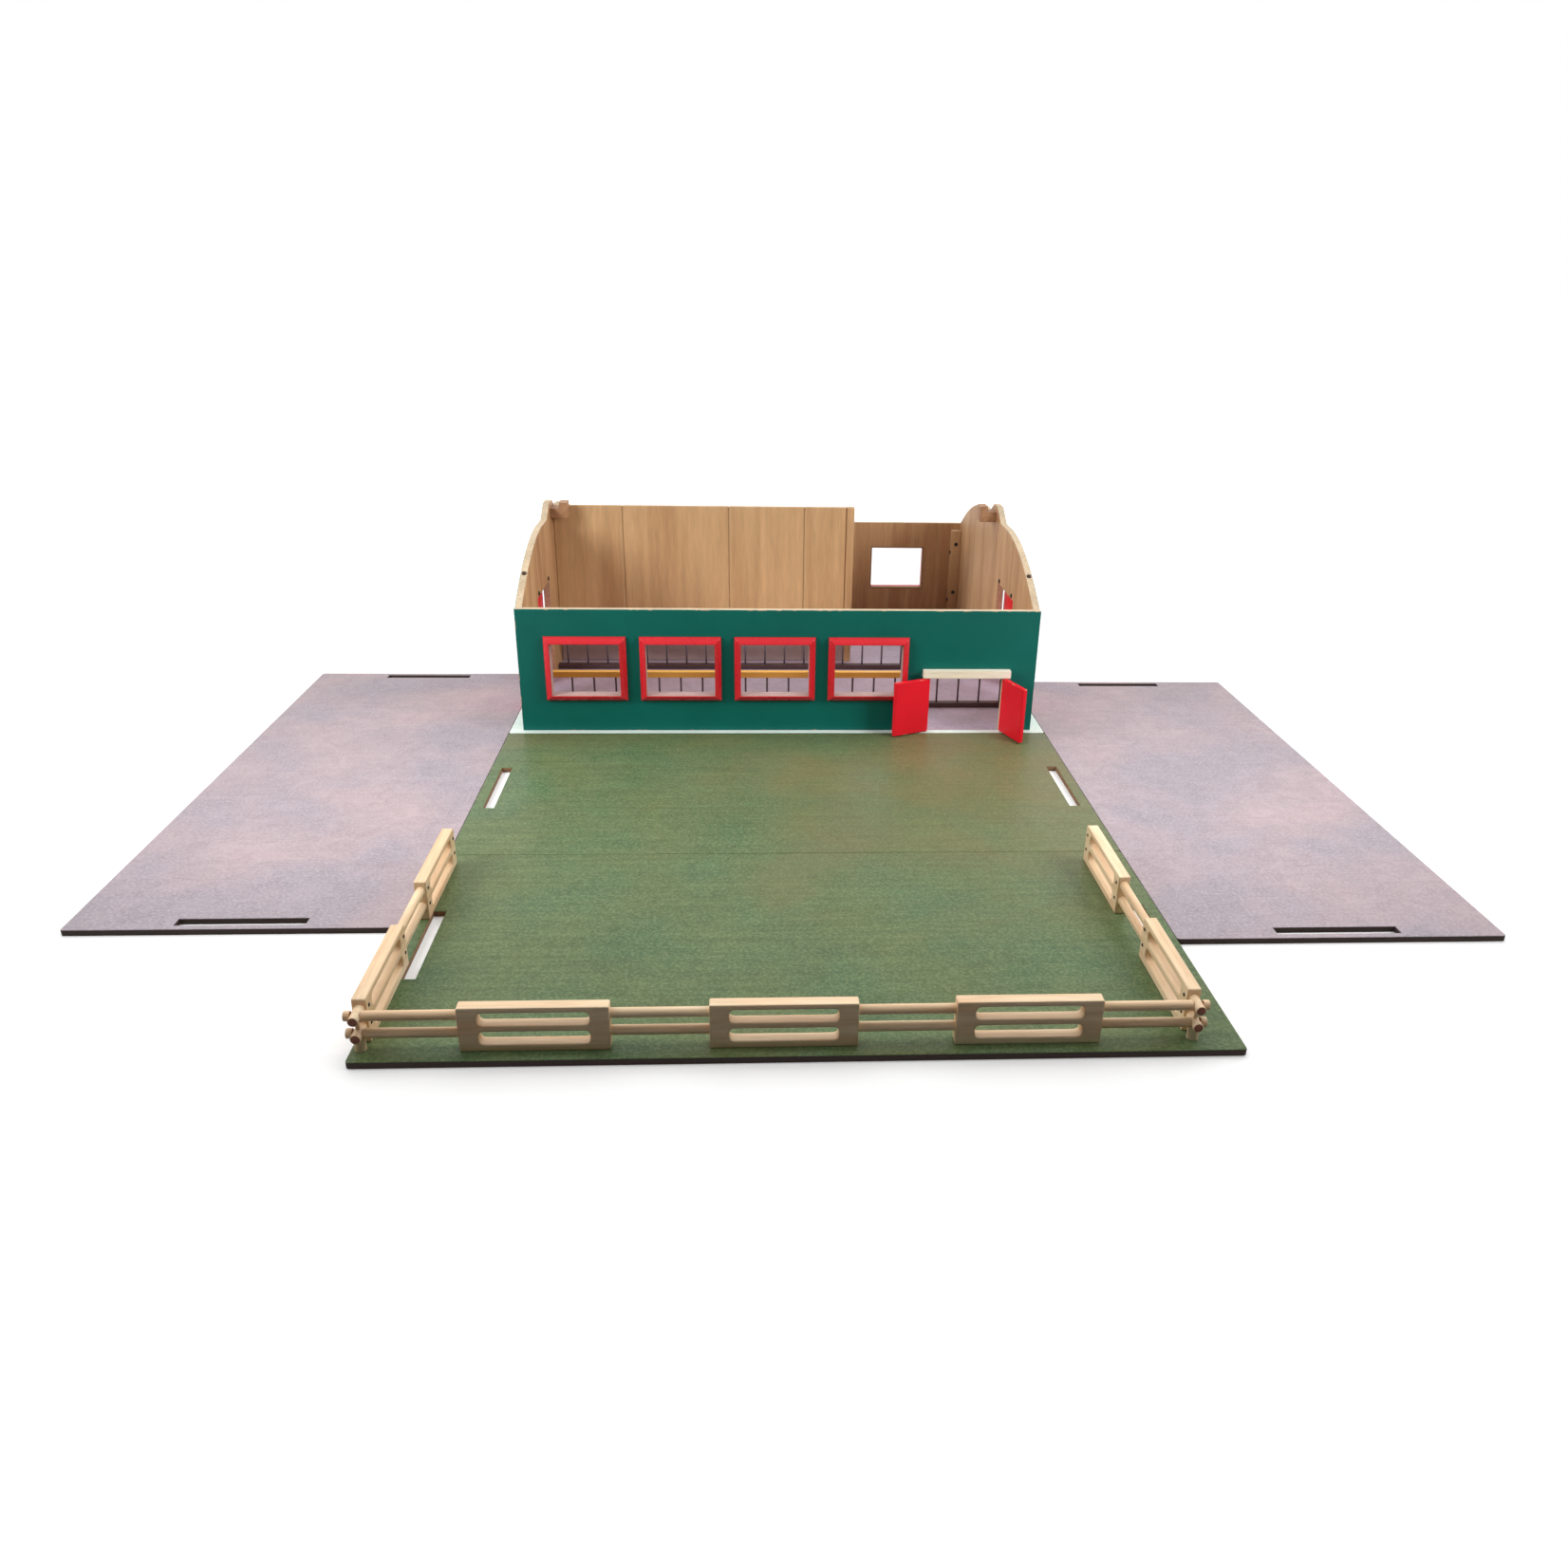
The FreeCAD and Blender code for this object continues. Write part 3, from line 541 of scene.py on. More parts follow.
def painted(name, colour, gloss, shine=paint_shine, bare=rubbed_wood):
    """Material of a painted piece: slight clouds, a roller's stipple, and paint rubbed thin on its rims."""
    material, tree, shader, place = new_material(name)
    rim = add(tree, "ShaderNodeAttribute", attribute_name="rim")["Fac"]
    values = dict(Place=place, Rim=rim, Paint=srgb(colour), Bare=srgb(bare), Gloss=gloss)
    paint = add(tree, "ShaderNodeGroup", values, node_tree=film)
    wired(tree, shader, {
        "Base Color": paint["Color"], "Roughness": paint["Roughness"], "Specular IOR Level": shine,
        "Normal": bumped(tree, paint["Height"], paint_bump)})
    return material


def bare_timber(name, pale, dark, bands, roughness):
    """Material of bare wood, with its figure along each piece's own grain."""
    material, tree, shader, _ = new_material(name)
    grain = add(tree, "ShaderNodeAttribute", attribute_name="grain")["Vector"]
    rim = add(tree, "ShaderNodeAttribute", attribute_name="rim")["Fac"]
    values = dict(Grain=grain, Rim=rim, Pale=srgb(pale), Dark=srgb(dark), Bands=bands)
    wood = add(tree, "ShaderNodeGroup", values, node_tree=timber)
    polished = [roughness + change for change in timber_polish]
    wired(tree, shader, {
        "Base Color": wood["Color"], "Roughness": ranged(tree, wood["Height"], cloud_span, polished),
        "Normal": bumped(tree, wood["Height"], timber_bump)})
    return material


def window_hole(node):
    """Outline of the hole that a window frame's liner passes through."""
    low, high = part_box(node)
    step = frame_width - frame_liner
    return rectangle(low.x + step, high.x - step, low.z + step, high.z - step)


def notched(low, high, axis, lintel, tops):
    """Outline of a wall panel on its foot, with a doorway below a lintel and a list of top points."""
    lintel_low, lintel_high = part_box(lintel)
    start = lintel_low[axis] + lintel_overhang
    end = lintel_high[axis] - lintel_overhang
    return [(low[axis], low.z), (start, low.z), (start, lintel_low.z), (end, lintel_low.z), (end, low.z),
            (high[axis], low.z)] + tops


green_paint = painted("green wall paint", wall_green, wall_gloss, wall_shine)
veneer = bare_timber("bare veneer", veneer_pale, veneer_dark, veneer_bands, veneer_roughness)
cut_edge = sawn_fibre("pale cut edge", cut_edge_colour)


def wall_panel(node, thin, outline, kinds, holes=(), shift=0.0):
    """Makes a wall panel from its outline, with its grain upright."""
    low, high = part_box(node)
    shape = new_shape()
    cut_board(shape, thin, low[thin], high[thin], outline, holes, Z, shift, kinds=kinds)
    finished(shape, "green_" + node, "stable", "green_paint", node, green_paint, veneer, cut_edge)


front_windows = [f"window_frame_{number}" for number in range(1, 5)]
tops = [(front_high.x, front_high.z), (front_low.x, front_high.z)]
wall_panel("front_wall", Y, notched(front_low, front_high, X, "front_lintel", tops), paint_low,
           [window_hole(node) for node in front_windows])
wall_panel("rear_wall", Y, rectangle(rear_low.x, rear_high.x, rear_low.z, rear_high.z), paint_high,
           [window_hole("rear_window_frame")], rear_shift)

for side, kinds, shift in (("left", paint_low, left_shift), ("right", paint_high, right_shift)):
    low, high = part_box(side + "_gable")
    ridge_y = (low.y + high.y) / 2
    eave_z = front_high.z
    reach = ridge_y - shoulder_half_span - low.y
    slope = []
    for i in range(bow_steps + 1):
        share = i / bow_steps
        bow = 4 * roof_bow * share * (1 - share)
        slope.append((share * reach, eave_z + share * (shoulder_z - eave_z) + bow))
    slope += [(ridge_y - ridge_half_foot - low.y, shoulder_z), (ridge_y - ridge_half_flat - low.y, high.z)]
    roof_line = [(high.y - run, z) for run, z in slope] + [(low.y + run, z) for run, z in reversed(slope)]
    wall_panel(side + "_gable", X, notched(low, high, Y, side + "_lintel", roof_line), kinds, shift=shift)


# Window frames
# Wooden frames with mitred corners and sloping faces, painted glossy red and glued over the window holes. A
# thin liner runs back through the wall. The faces round the opening are left bare. In the front frames their
# pale pink tone is partly a painted highlight on the sills.
frame_red = (214, 36, 46)
frame_gloss = 0.27
# bare wood inside the front frames, lightened to a pale pink that paints in the sills' highlight
frame_bare_highlight = (172, 142, 137)
frame_depth = 0.009
frame_fall_width = 0.0072
frame_fall_depth = 0.0072
frame_fall_fullness = 1.4
frame_inner_ease = 0.0004
front_bare_faces = 4
rear_bare_faces = 3
mitre_half_width = 0.0004
mitre_depth = 0.0003
round_steps = 6

red_paint = painted("glossy red paint", frame_red, frame_gloss)
# finish of the bare faces in the front frames: bare wood with a painted highlight in its pale pink
highlit_bare_frame = sawn_fibre("bare frame wood with painted highlight", frame_bare_highlight)

for node in front_windows + ["rear_window_frame"]:
    low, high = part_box(node)
    rear = node.startswith("rear")
    front, back, inward = (high.y, low.y, -1) if rear else (low.y, high.y, 1)
    wall = front + inward * frame_depth
    profile = [(0.0, wall)]
    for i in range(round_steps + 1):
        turn = math.pi / 2 * i / round_steps
        reach, rise = [abs(part) ** (2 / frame_fall_fullness) for part in (math.cos(turn), math.sin(turn))]
        profile.append((frame_fall_width * (1 - reach), front + inward * frame_fall_depth * (1 - rise)))
    profile += [(frame_width - frame_inner_ease, front), (frame_width, front + inward * frame_inner_ease),
                (frame_width, wall), (frame_width, back), (frame_width - frame_liner, back),
                (frame_width - frame_liner, wall)]
    bare_from = len(profile) - (rear_bare_faces if rear else front_bare_faces)
    points = [Vector(point) for point in rectangle(low.x, high.x, low.z, high.z)]
    shape = new_shape()
    rings = []
    for i, (corner, way) in enumerate(zip(points, rectangle(1, -1, 1, -1))):
        before = (points[i - 1] - corner).normalized() * mitre_half_width
        after = (points[(i + 1) % 4] - corner).normalized() * mitre_half_width
        for step, sunk in ((before, False), (Vector((0, 0)), True), (after, False)):
            ring = []
            for depth, y in profile:
                if sunk and abs(y - back) > abs(wall - back):
                    y += inward * mitre_depth
                x = corner.x + way[0] * depth + step.x
                ring.append(shape.verts.new((x, y, corner.y + way[1] * depth + step.y)))
            rings.append(ring)
    for i, ring in enumerate(rings):
        for k in range(len(ring)):
            face = shape.faces.new((rings[i - 1][k - 1], rings[i - 1][k], ring[k], ring[k - 1]))
            face.material_index = int(k >= bare_from)
            face.smooth = True
    # the front frames get the pale finish with the painted highlight inside, the rear frame plain board back
    inner_face = board_back if rear else highlit_bare_frame
    finished(shape, "red_" + node, "stable", "red_paint", node, red_paint, inner_face)


# Partition
# Upright planks of bare wood in the middle of the stable, glued edge to edge from the left gable, with two
# battens across the back and a post on the free end. The planks' lower ends are painted grey like the floor.
plank_width_shares = (0.234, 0.361, 0.259, 0.146)
plank_ease = 0.0014
plank_joint = 0.00005
plank_shift = 0.6
plank_pale = (219, 180, 132)
plank_dark = (190, 148, 104)
plank_bands = 26.0
plank_roughness = 0.5
plinth_grey = (168, 150, 154)
plinth_fade = (0.032, 0.036)
plinth_shares = (0.9, 0.0)
plinth_patches = 60.0
plinth_tones = (0.93, 1.07)
batten_ease = 0.0006
post_shift = 3.1
cleat_shift = 4.0
weld_distance = 1e-6
sorting_digits = 5

plank_figure = (plank_pale, plank_dark, plank_bands, plank_roughness)
plank_wood = bare_timber("partition plank", *plank_figure)
footed_wood = bare_timber("plank with a grey plinth", *plank_figure)
tree, shader, place = reopened(footed_wood)
plinth = ranged(tree, add(tree, "ShaderNodeSeparateXYZ", {0: place})["Z"], plinth_fade, plinth_shares)
wash = toned(tree, srgb(plinth_grey), clouds(tree, place, plinth_patches, plinth_tones, detail=4.0))
overlaid(tree, shader, plinth, wash)


def batten(shape, low, high, along, shift=0.0, ease=batten_ease):
    """Adds a square-edged stick between two corners, eased all round, with its grain along an axis."""
    thin = min(others(along), key=lambda axis: high[axis] - low[axis])
    u, v = others(thin)
    outline = rectangle(low[u], high[u], low[v], high[v])
    cut_board(shape, thin, low[thin], high[thin], outline, along=along, shift=shift, ease=ease, radius=ease)


def solids(node):
    """Lowest and highest corner of each separate solid of a node of the frame."""
    shape = bmesh.new()
    shape.from_mesh(frame["nodes"][node].data)
    bmesh.ops.remove_doubles(shape, verts=shape.verts, dist=weld_distance)
    waiting = set(shape.verts)
    boxes = []
    while waiting:
        found = [waiting.pop()]
        for vert in found:
            for edge in vert.link_edges:
                other = edge.other_vert(vert)
                if other in waiting:
                    waiting.remove(other)
                    found.append(other)
        columns = list(zip(*[vert.co for vert in found]))
        boxes.append([Vector([end(column) for column in columns]) for end in (min, max)])
    shape.free()
    return sorted(boxes, key=lambda box: tuple(round(x, sorting_digits) for x in box[0]))


def sticks(node, name, slot, material, along, shift=0.0):
    """Makes a node's sticks, each with a grain of its own."""
    shape = new_shape()
    for number, (low, high) in enumerate(solids(node)):
        batten(shape, low, high, along, shift + number)
    finished(shape, name, "stable", slot, node, material)


low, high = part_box("partition_planks")
shape = new_shape()
left = low.x
for number, share in enumerate(plank_width_shares):
    right = left + share * (high.x - low.x)
    batten(shape, Vector((left, low.y, low.z)), Vector((right - plank_joint, high.y, high.z)), Z,
           plank_shift * number, plank_ease)
    left = right
finished(shape, "partition_plank_row", "stable", "bare_board", "partition_planks", footed_wood)
sticks("partition_end_post", "partition_free_post", "bare_board", plank_wood, Z, post_shift)
sticks("partition_cleats", "partition_battens", "bare_board", plank_wood, X, cleat_shift)


# Corner posts
# Square sticks of light wood inside the four corners. Screws go through them into both walls, which is what
# holds the box together.
corner_shift = 5.0

sticks("corner_posts", "corner_post_sticks", "bare_board", plank_wood, Z, corner_shift)


# Lintels
# Sticks of pale planed wood above the doorways, screwed on from inside. The upper pins of the door leaves
# turn in holes in their undersides.
pale_light = (255, 247, 232)
pale_dark = (247, 232, 204)
pale_bands = 60.0
pale_roughness = 0.5
lintel_shift = 0.2

pale_wood = bare_timber("pale planed wood", pale_light, pale_dark, pale_bands, pale_roughness)

for node, along in (("front_lintel", X), ("left_lintel", Y), ("right_lintel", Y)):
    sticks(node, node + "_stick", "pale_wood", pale_wood, along, lintel_shift)


# Screws
# Blackened steel screws with a cross recess. Pan heads sit on the corner posts and inside the walls above
# the doorways, and countersunk heads lie flush in the underside of the floor board.
screw_black = (58, 55, 52)
scratch_stretch = (1.0, 1.0, 9.0)
scratch_scale = 500.0
steel_tones = (0.75, 1.3)
steel_roughness = (0.32, 0.5)
steel_metallic = 0.85
screw_shank = 0.0015
screw_head = 0.003
screw_head_height = 0.0018
recess_share = 0.62
recess_margin = 0.05
recess_arm = 0.12
recess_floor = -0.3
recess_depth = 0.0007
pan_shares = ((recess_share, 0.05), (0.85, 0.2), (1.0, 0.5), (1.0, 1.0))
sunk_shares = ((recess_share, 0.0), (1.0, 0.0))
turn_count = 16
twist_seed = 7
far_below = Vector((0, 0, -1))

steel, tree, shader, place = new_material("blackened steel")
brushed = noise(tree, vector_maths(tree, "MULTIPLY", place, scratch_stretch), scratch_scale)
wired(tree, shader, {
    "Base Color": toned(tree, srgb(screw_black), ranged(tree, brushed, cloud_span, steel_tones)),
    "Roughness": ranged(tree, brushed, cloud_span, steel_roughness), "Metallic": steel_metallic})


def domed(shares, radius, height):
    """Profile of a head, from the middle of its top down, as shares of its radius and height."""
    return [(0, 0)] + [(out * radius, -down * height) for out, down in shares]


def shank(radius, start, boxes):
    """Profile of a shank from below a fastener's head to its tip. The boxes hold the fasteners."""
    low, high = boxes[0]
    tip = -max(high - low)
    return [(radius, -start), (radius, tip + 2 * radius), (0, tip)]


def turned(name, profile):
    """Round solid turned about Z. The profile is (radius, height) pairs from the middle of its top down."""
    shape = bmesh.new()
    turns = [2 * math.pi * i / turn_count for i in range(turn_count)]
    rings = []
    for radius, height in profile:
        if radius == 0:
            rings.append([shape.verts.new((0, 0, height))])
            continue
        rings.append([shape.verts.new((radius * math.cos(a), radius * math.sin(a), height)) for a in turns])
    for upper, lower in zip(rings, rings[1:]):
        for i in range(turn_count):
            above = upper if len(upper) == 1 else [upper[i - 1], upper[i]]
            below = lower if len(lower) == 1 else [lower[i], lower[i - 1]]
            face = shape.faces.new(above + below)
            face.smooth = True
    return linked(name, meshed(shape, name))


def cross_recess(screw):
    """Sinks the arms of a cross into the top of a screw."""
    for vert in screw.data.vertices:
        radius = vert.co.to_2d().length
        arm = min(abs(vert.co.x), abs(vert.co.y)) < recess_arm * screw_head
        inside = radius < (recess_share + recess_margin) * screw_head
        if vert.co.z > recess_floor * screw_head_height and inside and (arm or radius == 0):
            vert.co.z -= recess_depth
    return screw


def copied(tree, made, places, material):
    """Ends a geometry node tree: copies on points, made real, with their finish."""
    copies = add(tree, "GeometryNodeInstanceOnPoints", places)[0]
    whole = add(tree, "GeometryNodeRealizeInstances", {0: copies})[0]
    values = {"Geometry": whole, "Material": material}
    wired(tree, made, {0: add(tree, "GeometryNodeSetMaterial", values)[0]})


def grown(name, mesh, tree, values):
    """Plain mesh object that a geometry node tree makes from a mesh and the values of its inputs."""
    carrier = linked(name + "_carrier", mesh)
    modifier = carrier.modifiers.new(name, "NODES")
    modifier.node_group = tree
    for socket in tree.interface.items_tree:
        if socket.name in values:
            modifier[socket.identifier] = values[socket.name]
    depsgraph = bpy.context.evaluated_depsgraph_get()
    plain = bpy.data.meshes.new_from_object(carrier.evaluated_get(depsgraph))
    carrier.modifiers.remove(modifier)
    bpy.data.objects.remove(carrier)
    return linked(name, plain)


rows, given, made = node_group(
    "set in place", dict(Places="Geometry", Part="Object", Finish="Material", Seed="Int"),
    dict(Parts="Geometry"), "GeometryNodeTree")
aim = add(rows, "GeometryNodeInputNamedAttribute", {"Name": "aim"}, data_type="FLOAT_VECTOR")[0]
upright = add(rows, "FunctionNodeAlignRotationToVector", {"Vector": aim}, axis="Z")[0]
twist = add(rows, "FunctionNodeRandomValue", {"Seed": given["Seed"], 3: 2 * math.pi}, data_type="FLOAT")[1]
spin = add(rows, "FunctionNodeAxisAngleToRotation", {"Angle": twist})[0]
facing = add(rows, "FunctionNodeRotateRotation", {0: upright, 1: spin}, rotation_space="LOCAL")[0]
part = add(rows, "GeometryNodeObjectInfo", {"Object": given["Part"]})["Geometry"]
copied(rows, made, {"Points": given["Places"], "Instance": part, "Rotation": facing}, given["Finish"])


def set_in_place(name, body, node, part, boxes, goal, material):
    """Makes a piece of copies of a fastener, one along each box, its head at the end nearer a goal."""
    places = []
    aims = []
    for low, high in boxes:
        place = (low + high) / 2
        length = max(range(3), key=lambda axis: high[axis] - low[axis])
        sign = 1 if goal[length] > place[length] else -1
        place[length] = high[length] if sign > 0 else low[length]
        places.append(place)
        aims += [sign if axis == length else 0 for axis in range(3)]
    points = bpy.data.meshes.new(name)
    points.from_pydata(places, [], [])
    points.attributes.new("aim", "FLOAT_VECTOR", "POINT").data.foreach_set("vector", aims)
    piece = grown(name, points, rows, {"Part": part, "Finish": material, "Seed": twist_seed})
    bpy.data.objects.remove(part)
    placed(piece, body, node)


for node, kind, shares, goal in (("corner_screws", "pan_screw", pan_shares, stable_middle),
                                 ("lintel_screws", "pan_screw", pan_shares, stable_middle),
                                 ("floor_screws", "countersunk_screw", sunk_shares, far_below)):
    boxes = solids(node)
    profile = domed(shares, screw_head, screw_head_height) + shank(screw_shank, screw_head_height, boxes)
    set_in_place(node + "_set", "stable", node, cross_recess(turned(kind, profile)), boxes, goal, steel)


# Feed fences
# Two rows of thin grey bars between a dark curb on the floor and a yellow beam. The bars are painted wire,
# set into holes, and curb and beam are painted sticks that run from gable to gable.
beam_yellow = (246, 188, 92)
beam_gloss = 0.4
curb_dark = (82, 62, 64)
curb_gloss = 0.45
curb_worn = (108, 86, 80)
wire_grey = (92, 80, 88)
wire_gloss = 0.4
bar_sides = 12

yellow_paint = painted("yellow paint", beam_yellow, beam_gloss)
dark_paint = painted("dark paint", curb_dark, curb_gloss, bare=curb_worn)
wire_paint = painted("grey painted wire", wire_grey, wire_gloss)

bars, given, made = node_group(
    "row of bars",
    dict(Geometry="Geometry", Count="Int", First="Vector", Step="Vector", Radius="Float", Height="Float",
         Finish="Material"),
    dict(Bars="Geometry"), "GeometryNodeTree")
values = {"Count": given["Count"], "Start Location": given["First"], "Offset": given["Step"]}
line = add(bars, "GeometryNodeMeshLine", values, mode="OFFSET")[0]
values = {"Vertices": bar_sides, "Radius": given["Radius"], "Depth": given["Height"]}
bar = add(bars, "GeometryNodeMeshCylinder", values)
smooth_bar = add(bars, "GeometryNodeSetShadeSmooth", {"Geometry": bar["Mesh"], "Selection": bar["Side"]})[0]
copied(bars, made, {"Points": line, "Instance": smooth_bar}, given["Finish"])

for row in ("front_feed_", "rear_feed_"):
    sticks(row + "curb", "painted_" + row + "curb", "dark_paint", dark_paint, X)
    sticks(row + "beam", "painted_" + row + "beam", "yellow_paint", yellow_paint, X)
    node = row + "bars"
    boxes = solids(node)
    first, second = [(low + high) / 2 for low, high in boxes[:2]]
    low, high = boxes[0]
    values = dict(Count=len(boxes), First=first, Step=second - first, Radius=(high.x - low.x) / 2,
                  Height=high.z - low.z, Finish=wire_paint)
    placed(grown("wire_" + node, bpy.data.meshes.new(node), bars, values), "stable", node)


# Roof fittings
# A grooved block of brown wood inside each gable peak takes the end of a ridge piece, and dark pegs stand in
# the sloping edges. Blocks are glued, pegs driven in.
block_pale = (186, 142, 102)
block_dark = (152, 108, 74)
block_bands = 70.0
block_roughness = 0.6
groove_width = 0.013
groove_depth = 0.008
peg_dark = (70, 50, 40)
peg_gloss = 0.5
peg_shares = ((0.6, 0.12), (0.9, 0.4), (1.0, 0.8))
far_above = Vector((0, 0, 1))

block_wood = bare_timber("brown block wood", block_pale, block_dark, block_bands, block_roughness)
peg_paint = painted("dark stained peg", peg_dark, peg_gloss)

for side, outer in (("left", -1), ("right", 1)):
    node = side + "_ridge_cradle"
    low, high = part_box(node)
    near, far = (low.x, high.x) if outer > 0 else (high.x, low.x)
    step = far - outer * groove_width
    shelf = high.z - groove_depth
    outline = [(near, low.z), (far, low.z), (far, shelf), (step, shelf), (step, high.z), (near, high.z)]
    shape = new_shape()
    cut_board(shape, Y, low.y, high.y, outline, along=Y, ease=batten_ease)
    finished(shape, node + "_block", "stable", "bare_board", node, block_wood)

boxes = solids("roof_pegs")
low, high = boxes[0]
peg_radius = (high.x - low.x) / 2
peg_end = low.z - high.z
profile = domed(peg_shares, peg_radius, peg_radius) + [(peg_radius, peg_end), (0, peg_end)]
set_in_place("roof_peg_set", "stable", "roof_pegs", turned("roof_peg", profile), boxes, far_above, peg_paint)


# Door leaves
# Flat leaves of red painted board, two to a doorway, with a rounded hinge edge. Each turns on a steel pin in
# the floor board and another in the lintel.
leaf_red = (232, 28, 44)
leaf_gloss = 0.34
leaf_shine = 0.15
leaf_thickness = 0.006
leaf_edge_round = 0.0008
leaf_meeting_gap = 0.001
hinge_steps = 8

leaf_paint = painted("satin red door paint", leaf_red, leaf_gloss, leaf_shine)
hinges = {joint["child"]: joint for joint in frame["joints"] if joint["type"] == "hinge"}
pairs = (("front_left_leaf", "front_right_leaf"), ("left_gable_front_leaf", "left_gable_rear_leaf"),
         ("right_gable_front_leaf", "right_gable_rear_leaf"))


def refinished(node, material):
    """Gives a solid of the frame that is shown as it is another finish."""
    slots = frame["nodes"][node].data.materials
    slots.clear()
    slots.append(material)


for pair in pairs:
    for leaf, partner in (pair, pair[::-1]):
        low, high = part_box(leaf)
        pivot = Vector(hinges[leaf]["pos_m"]).to_2d()
        across = Vector(hinges[partner]["pos_m"]).to_2d() - pivot
        length = (across.length - leaf_meeting_gap) / 2
        opened = -math.radians(hinges[leaf]["range_deg"][0])
        turn = math.atan2(across.y, across.x) + hinges[leaf]["axis"][2] * opened
        half = leaf_thickness / 2
        plan = []
        for i in range(hinge_steps + 1):
            angle = math.pi / 2 + math.pi * i / hinge_steps
            plan.append((half * math.cos(angle), half * math.sin(angle)))
        plan += [(length - leaf_edge_round, -half), (length, -half + leaf_edge_round),
                 (length, half - leaf_edge_round), (length - leaf_edge_round, half)]
        outline = [pivot + Matrix.Rotation(turn, 2) @ Vector(point) for point in plan]
        shape = new_shape()
        cut_board(shape, Z, low.z, high.z, outline, along=Z)
        finished(shape, "red_" + leaf, leaf, "red_paint", leaf, leaf_paint)
        refinished(leaf + "_pins", steel)


# Fence boards
# Boards of planed pine with two long openings routed out, so that each looks like a three-bar gate. They
# stand on their lower edge, and the rails are glued and nailed into their ends.
pine_pale = (245, 220, 182)
pine_dark = (224, 182, 138)
pine_bands = 70.0
pine_roughness = 0.5
pine_shift = 0.8
fence_corner_round = 0.0015
fence_ease = 0.0008
stile_width = 0.015
bar_heights = (0.006, 0.005, 0.0045)
opening_round = 0.0045

pine = bare_timber("planed pine", pine_pale, pine_dark, pine_bands, pine_roughness)
fence_nodes = frame["record"]["behaviour"]["bodies"]["fence"]
fence_boards = [node for node in fence_nodes if node.endswith("_board")]

for number, node in enumerate(fence_boards):
    low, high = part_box(node)
    thin, along = (Y, X) if "front" in node else (X, Y)
    opening = (high.z - low.z - sum(bar_heights)) / 2
    first = low.z + bar_heights[0]
    second = first + opening + bar_heights[1]
    ends = (low[along] + stile_width, high[along] - stile_width)
    holes = [rectangle(*ends, z, z + opening) for z in (first, second)]
    outline = rectangle(low[along], high[along], low.z, high.z)
    shape = new_shape()
    cut_board(shape, thin, low[thin], high[thin], outline, holes, along, pine_shift * number, fence_ease,
              radius=fence_corner_round, hole_radius=opening_round)
    finished(shape, "pine_" + node, "fence", "pale_wood", node, pine)


# Fence rails
# Round pine rods between the boards. At the corners they cross in half laps, pinned from above on a short
# foot, and their ends show darker end grain.
rail_ease = 0.0009
round_profile = 0.5
flat_angle = math.radians(1)
tip_facing = 0.95
tip_corners = 12
end_pale = (150, 92, 66)
end_dark = (110, 62, 46)
end_bands = 240.0
end_roughness = 0.7
foot_grain_turn = (0, math.pi / 2, 0)
foot_roughness = (0.45, 0.65)

end_grain = bare_timber("rod end grain", end_pale, end_dark, end_bands, end_roughness)


def is_tip(face, along):
    """True for the round end face of a rod along an axis."""
    return abs(face.normal[along]) > tip_facing and len(face.verts) > tip_corners


for node, along in (("fence_front_rails", X), ("fence_left_rails", Y), ("fence_right_rails", Y)):
    shape = new_shape()
    shape.from_mesh(frame["nodes"][node].data)
    bmesh.ops.remove_doubles(shape, verts=shape.verts, dist=weld_distance)
    bmesh.ops.dissolve_limit(shape, angle_limit=flat_angle, verts=shape.verts, edges=shape.edges)
    tips = {face for face in shape.faces if is_tip(face, along)}
    rims = [edge for edge in shape.edges if len(tips.intersection(edge.link_faces)) == 1]
    bmesh.ops.bevel(shape, geom=rims, offset=rail_ease, segments=ease_steps, profile=round_profile,
                    affect="EDGES", clamp_overlap=True)
    grain = shape.verts.layers.float_vector["grain"]
    order = [along] + others(along)
    for vert in shape.verts:
        vert[grain] = Vector([vert.co[axis] for axis in order])
    for face in shape.faces:
        face.smooth = True
        face.material_index = int(is_tip(face, along))
    finished(shape, node + "_rods", "fence", "pale_wood", node, pine, end_grain)

foot_wood, tree, shader, place = new_material("turned pine foot")
grain = add(tree, "ShaderNodeMapping", {"Vector": place, "Rotation": foot_grain_turn})[0]
values = dict(Grain=grain, Pale=srgb(pine_pale), Dark=srgb(pine_dark), Bands=pine_bands)
wood = add(tree, "ShaderNodeGroup", values, node_tree=timber)
wired(tree, shader, {
    "Base Color": wood["Color"], "Roughness": ranged(tree, wood["Height"], cloud_span, foot_roughness)})
refinished("fence_corner_pegs", foot_wood)


# Fence nails
# Small steel nails with domed heads, driven from the inner faces of the boards through the ends of the rods.
# Their heads lie on the wood.
nail_shank = 0.0008
nail_head = 0.0017
nail_head_height = 0.0008
nail_shares = ((0.6, 0.15), (1.0, 0.7), (1.0, 1.0))

low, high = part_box("fence_front_rails")
fence_middle = (low + high) / 2
low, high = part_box("fence_left_rails")
fence_middle.y = (low.y + high.y) / 2
boxes = solids("fence_nails")
profile = domed(nail_shares, nail_head, nail_head_height) + shank(nail_shank, nail_head_height, boxes)
nail = turned("fence_nail", profile)
set_in_place("fence_nail_set", "fence", "fence_nails", nail, boxes, fence_middle, steel)


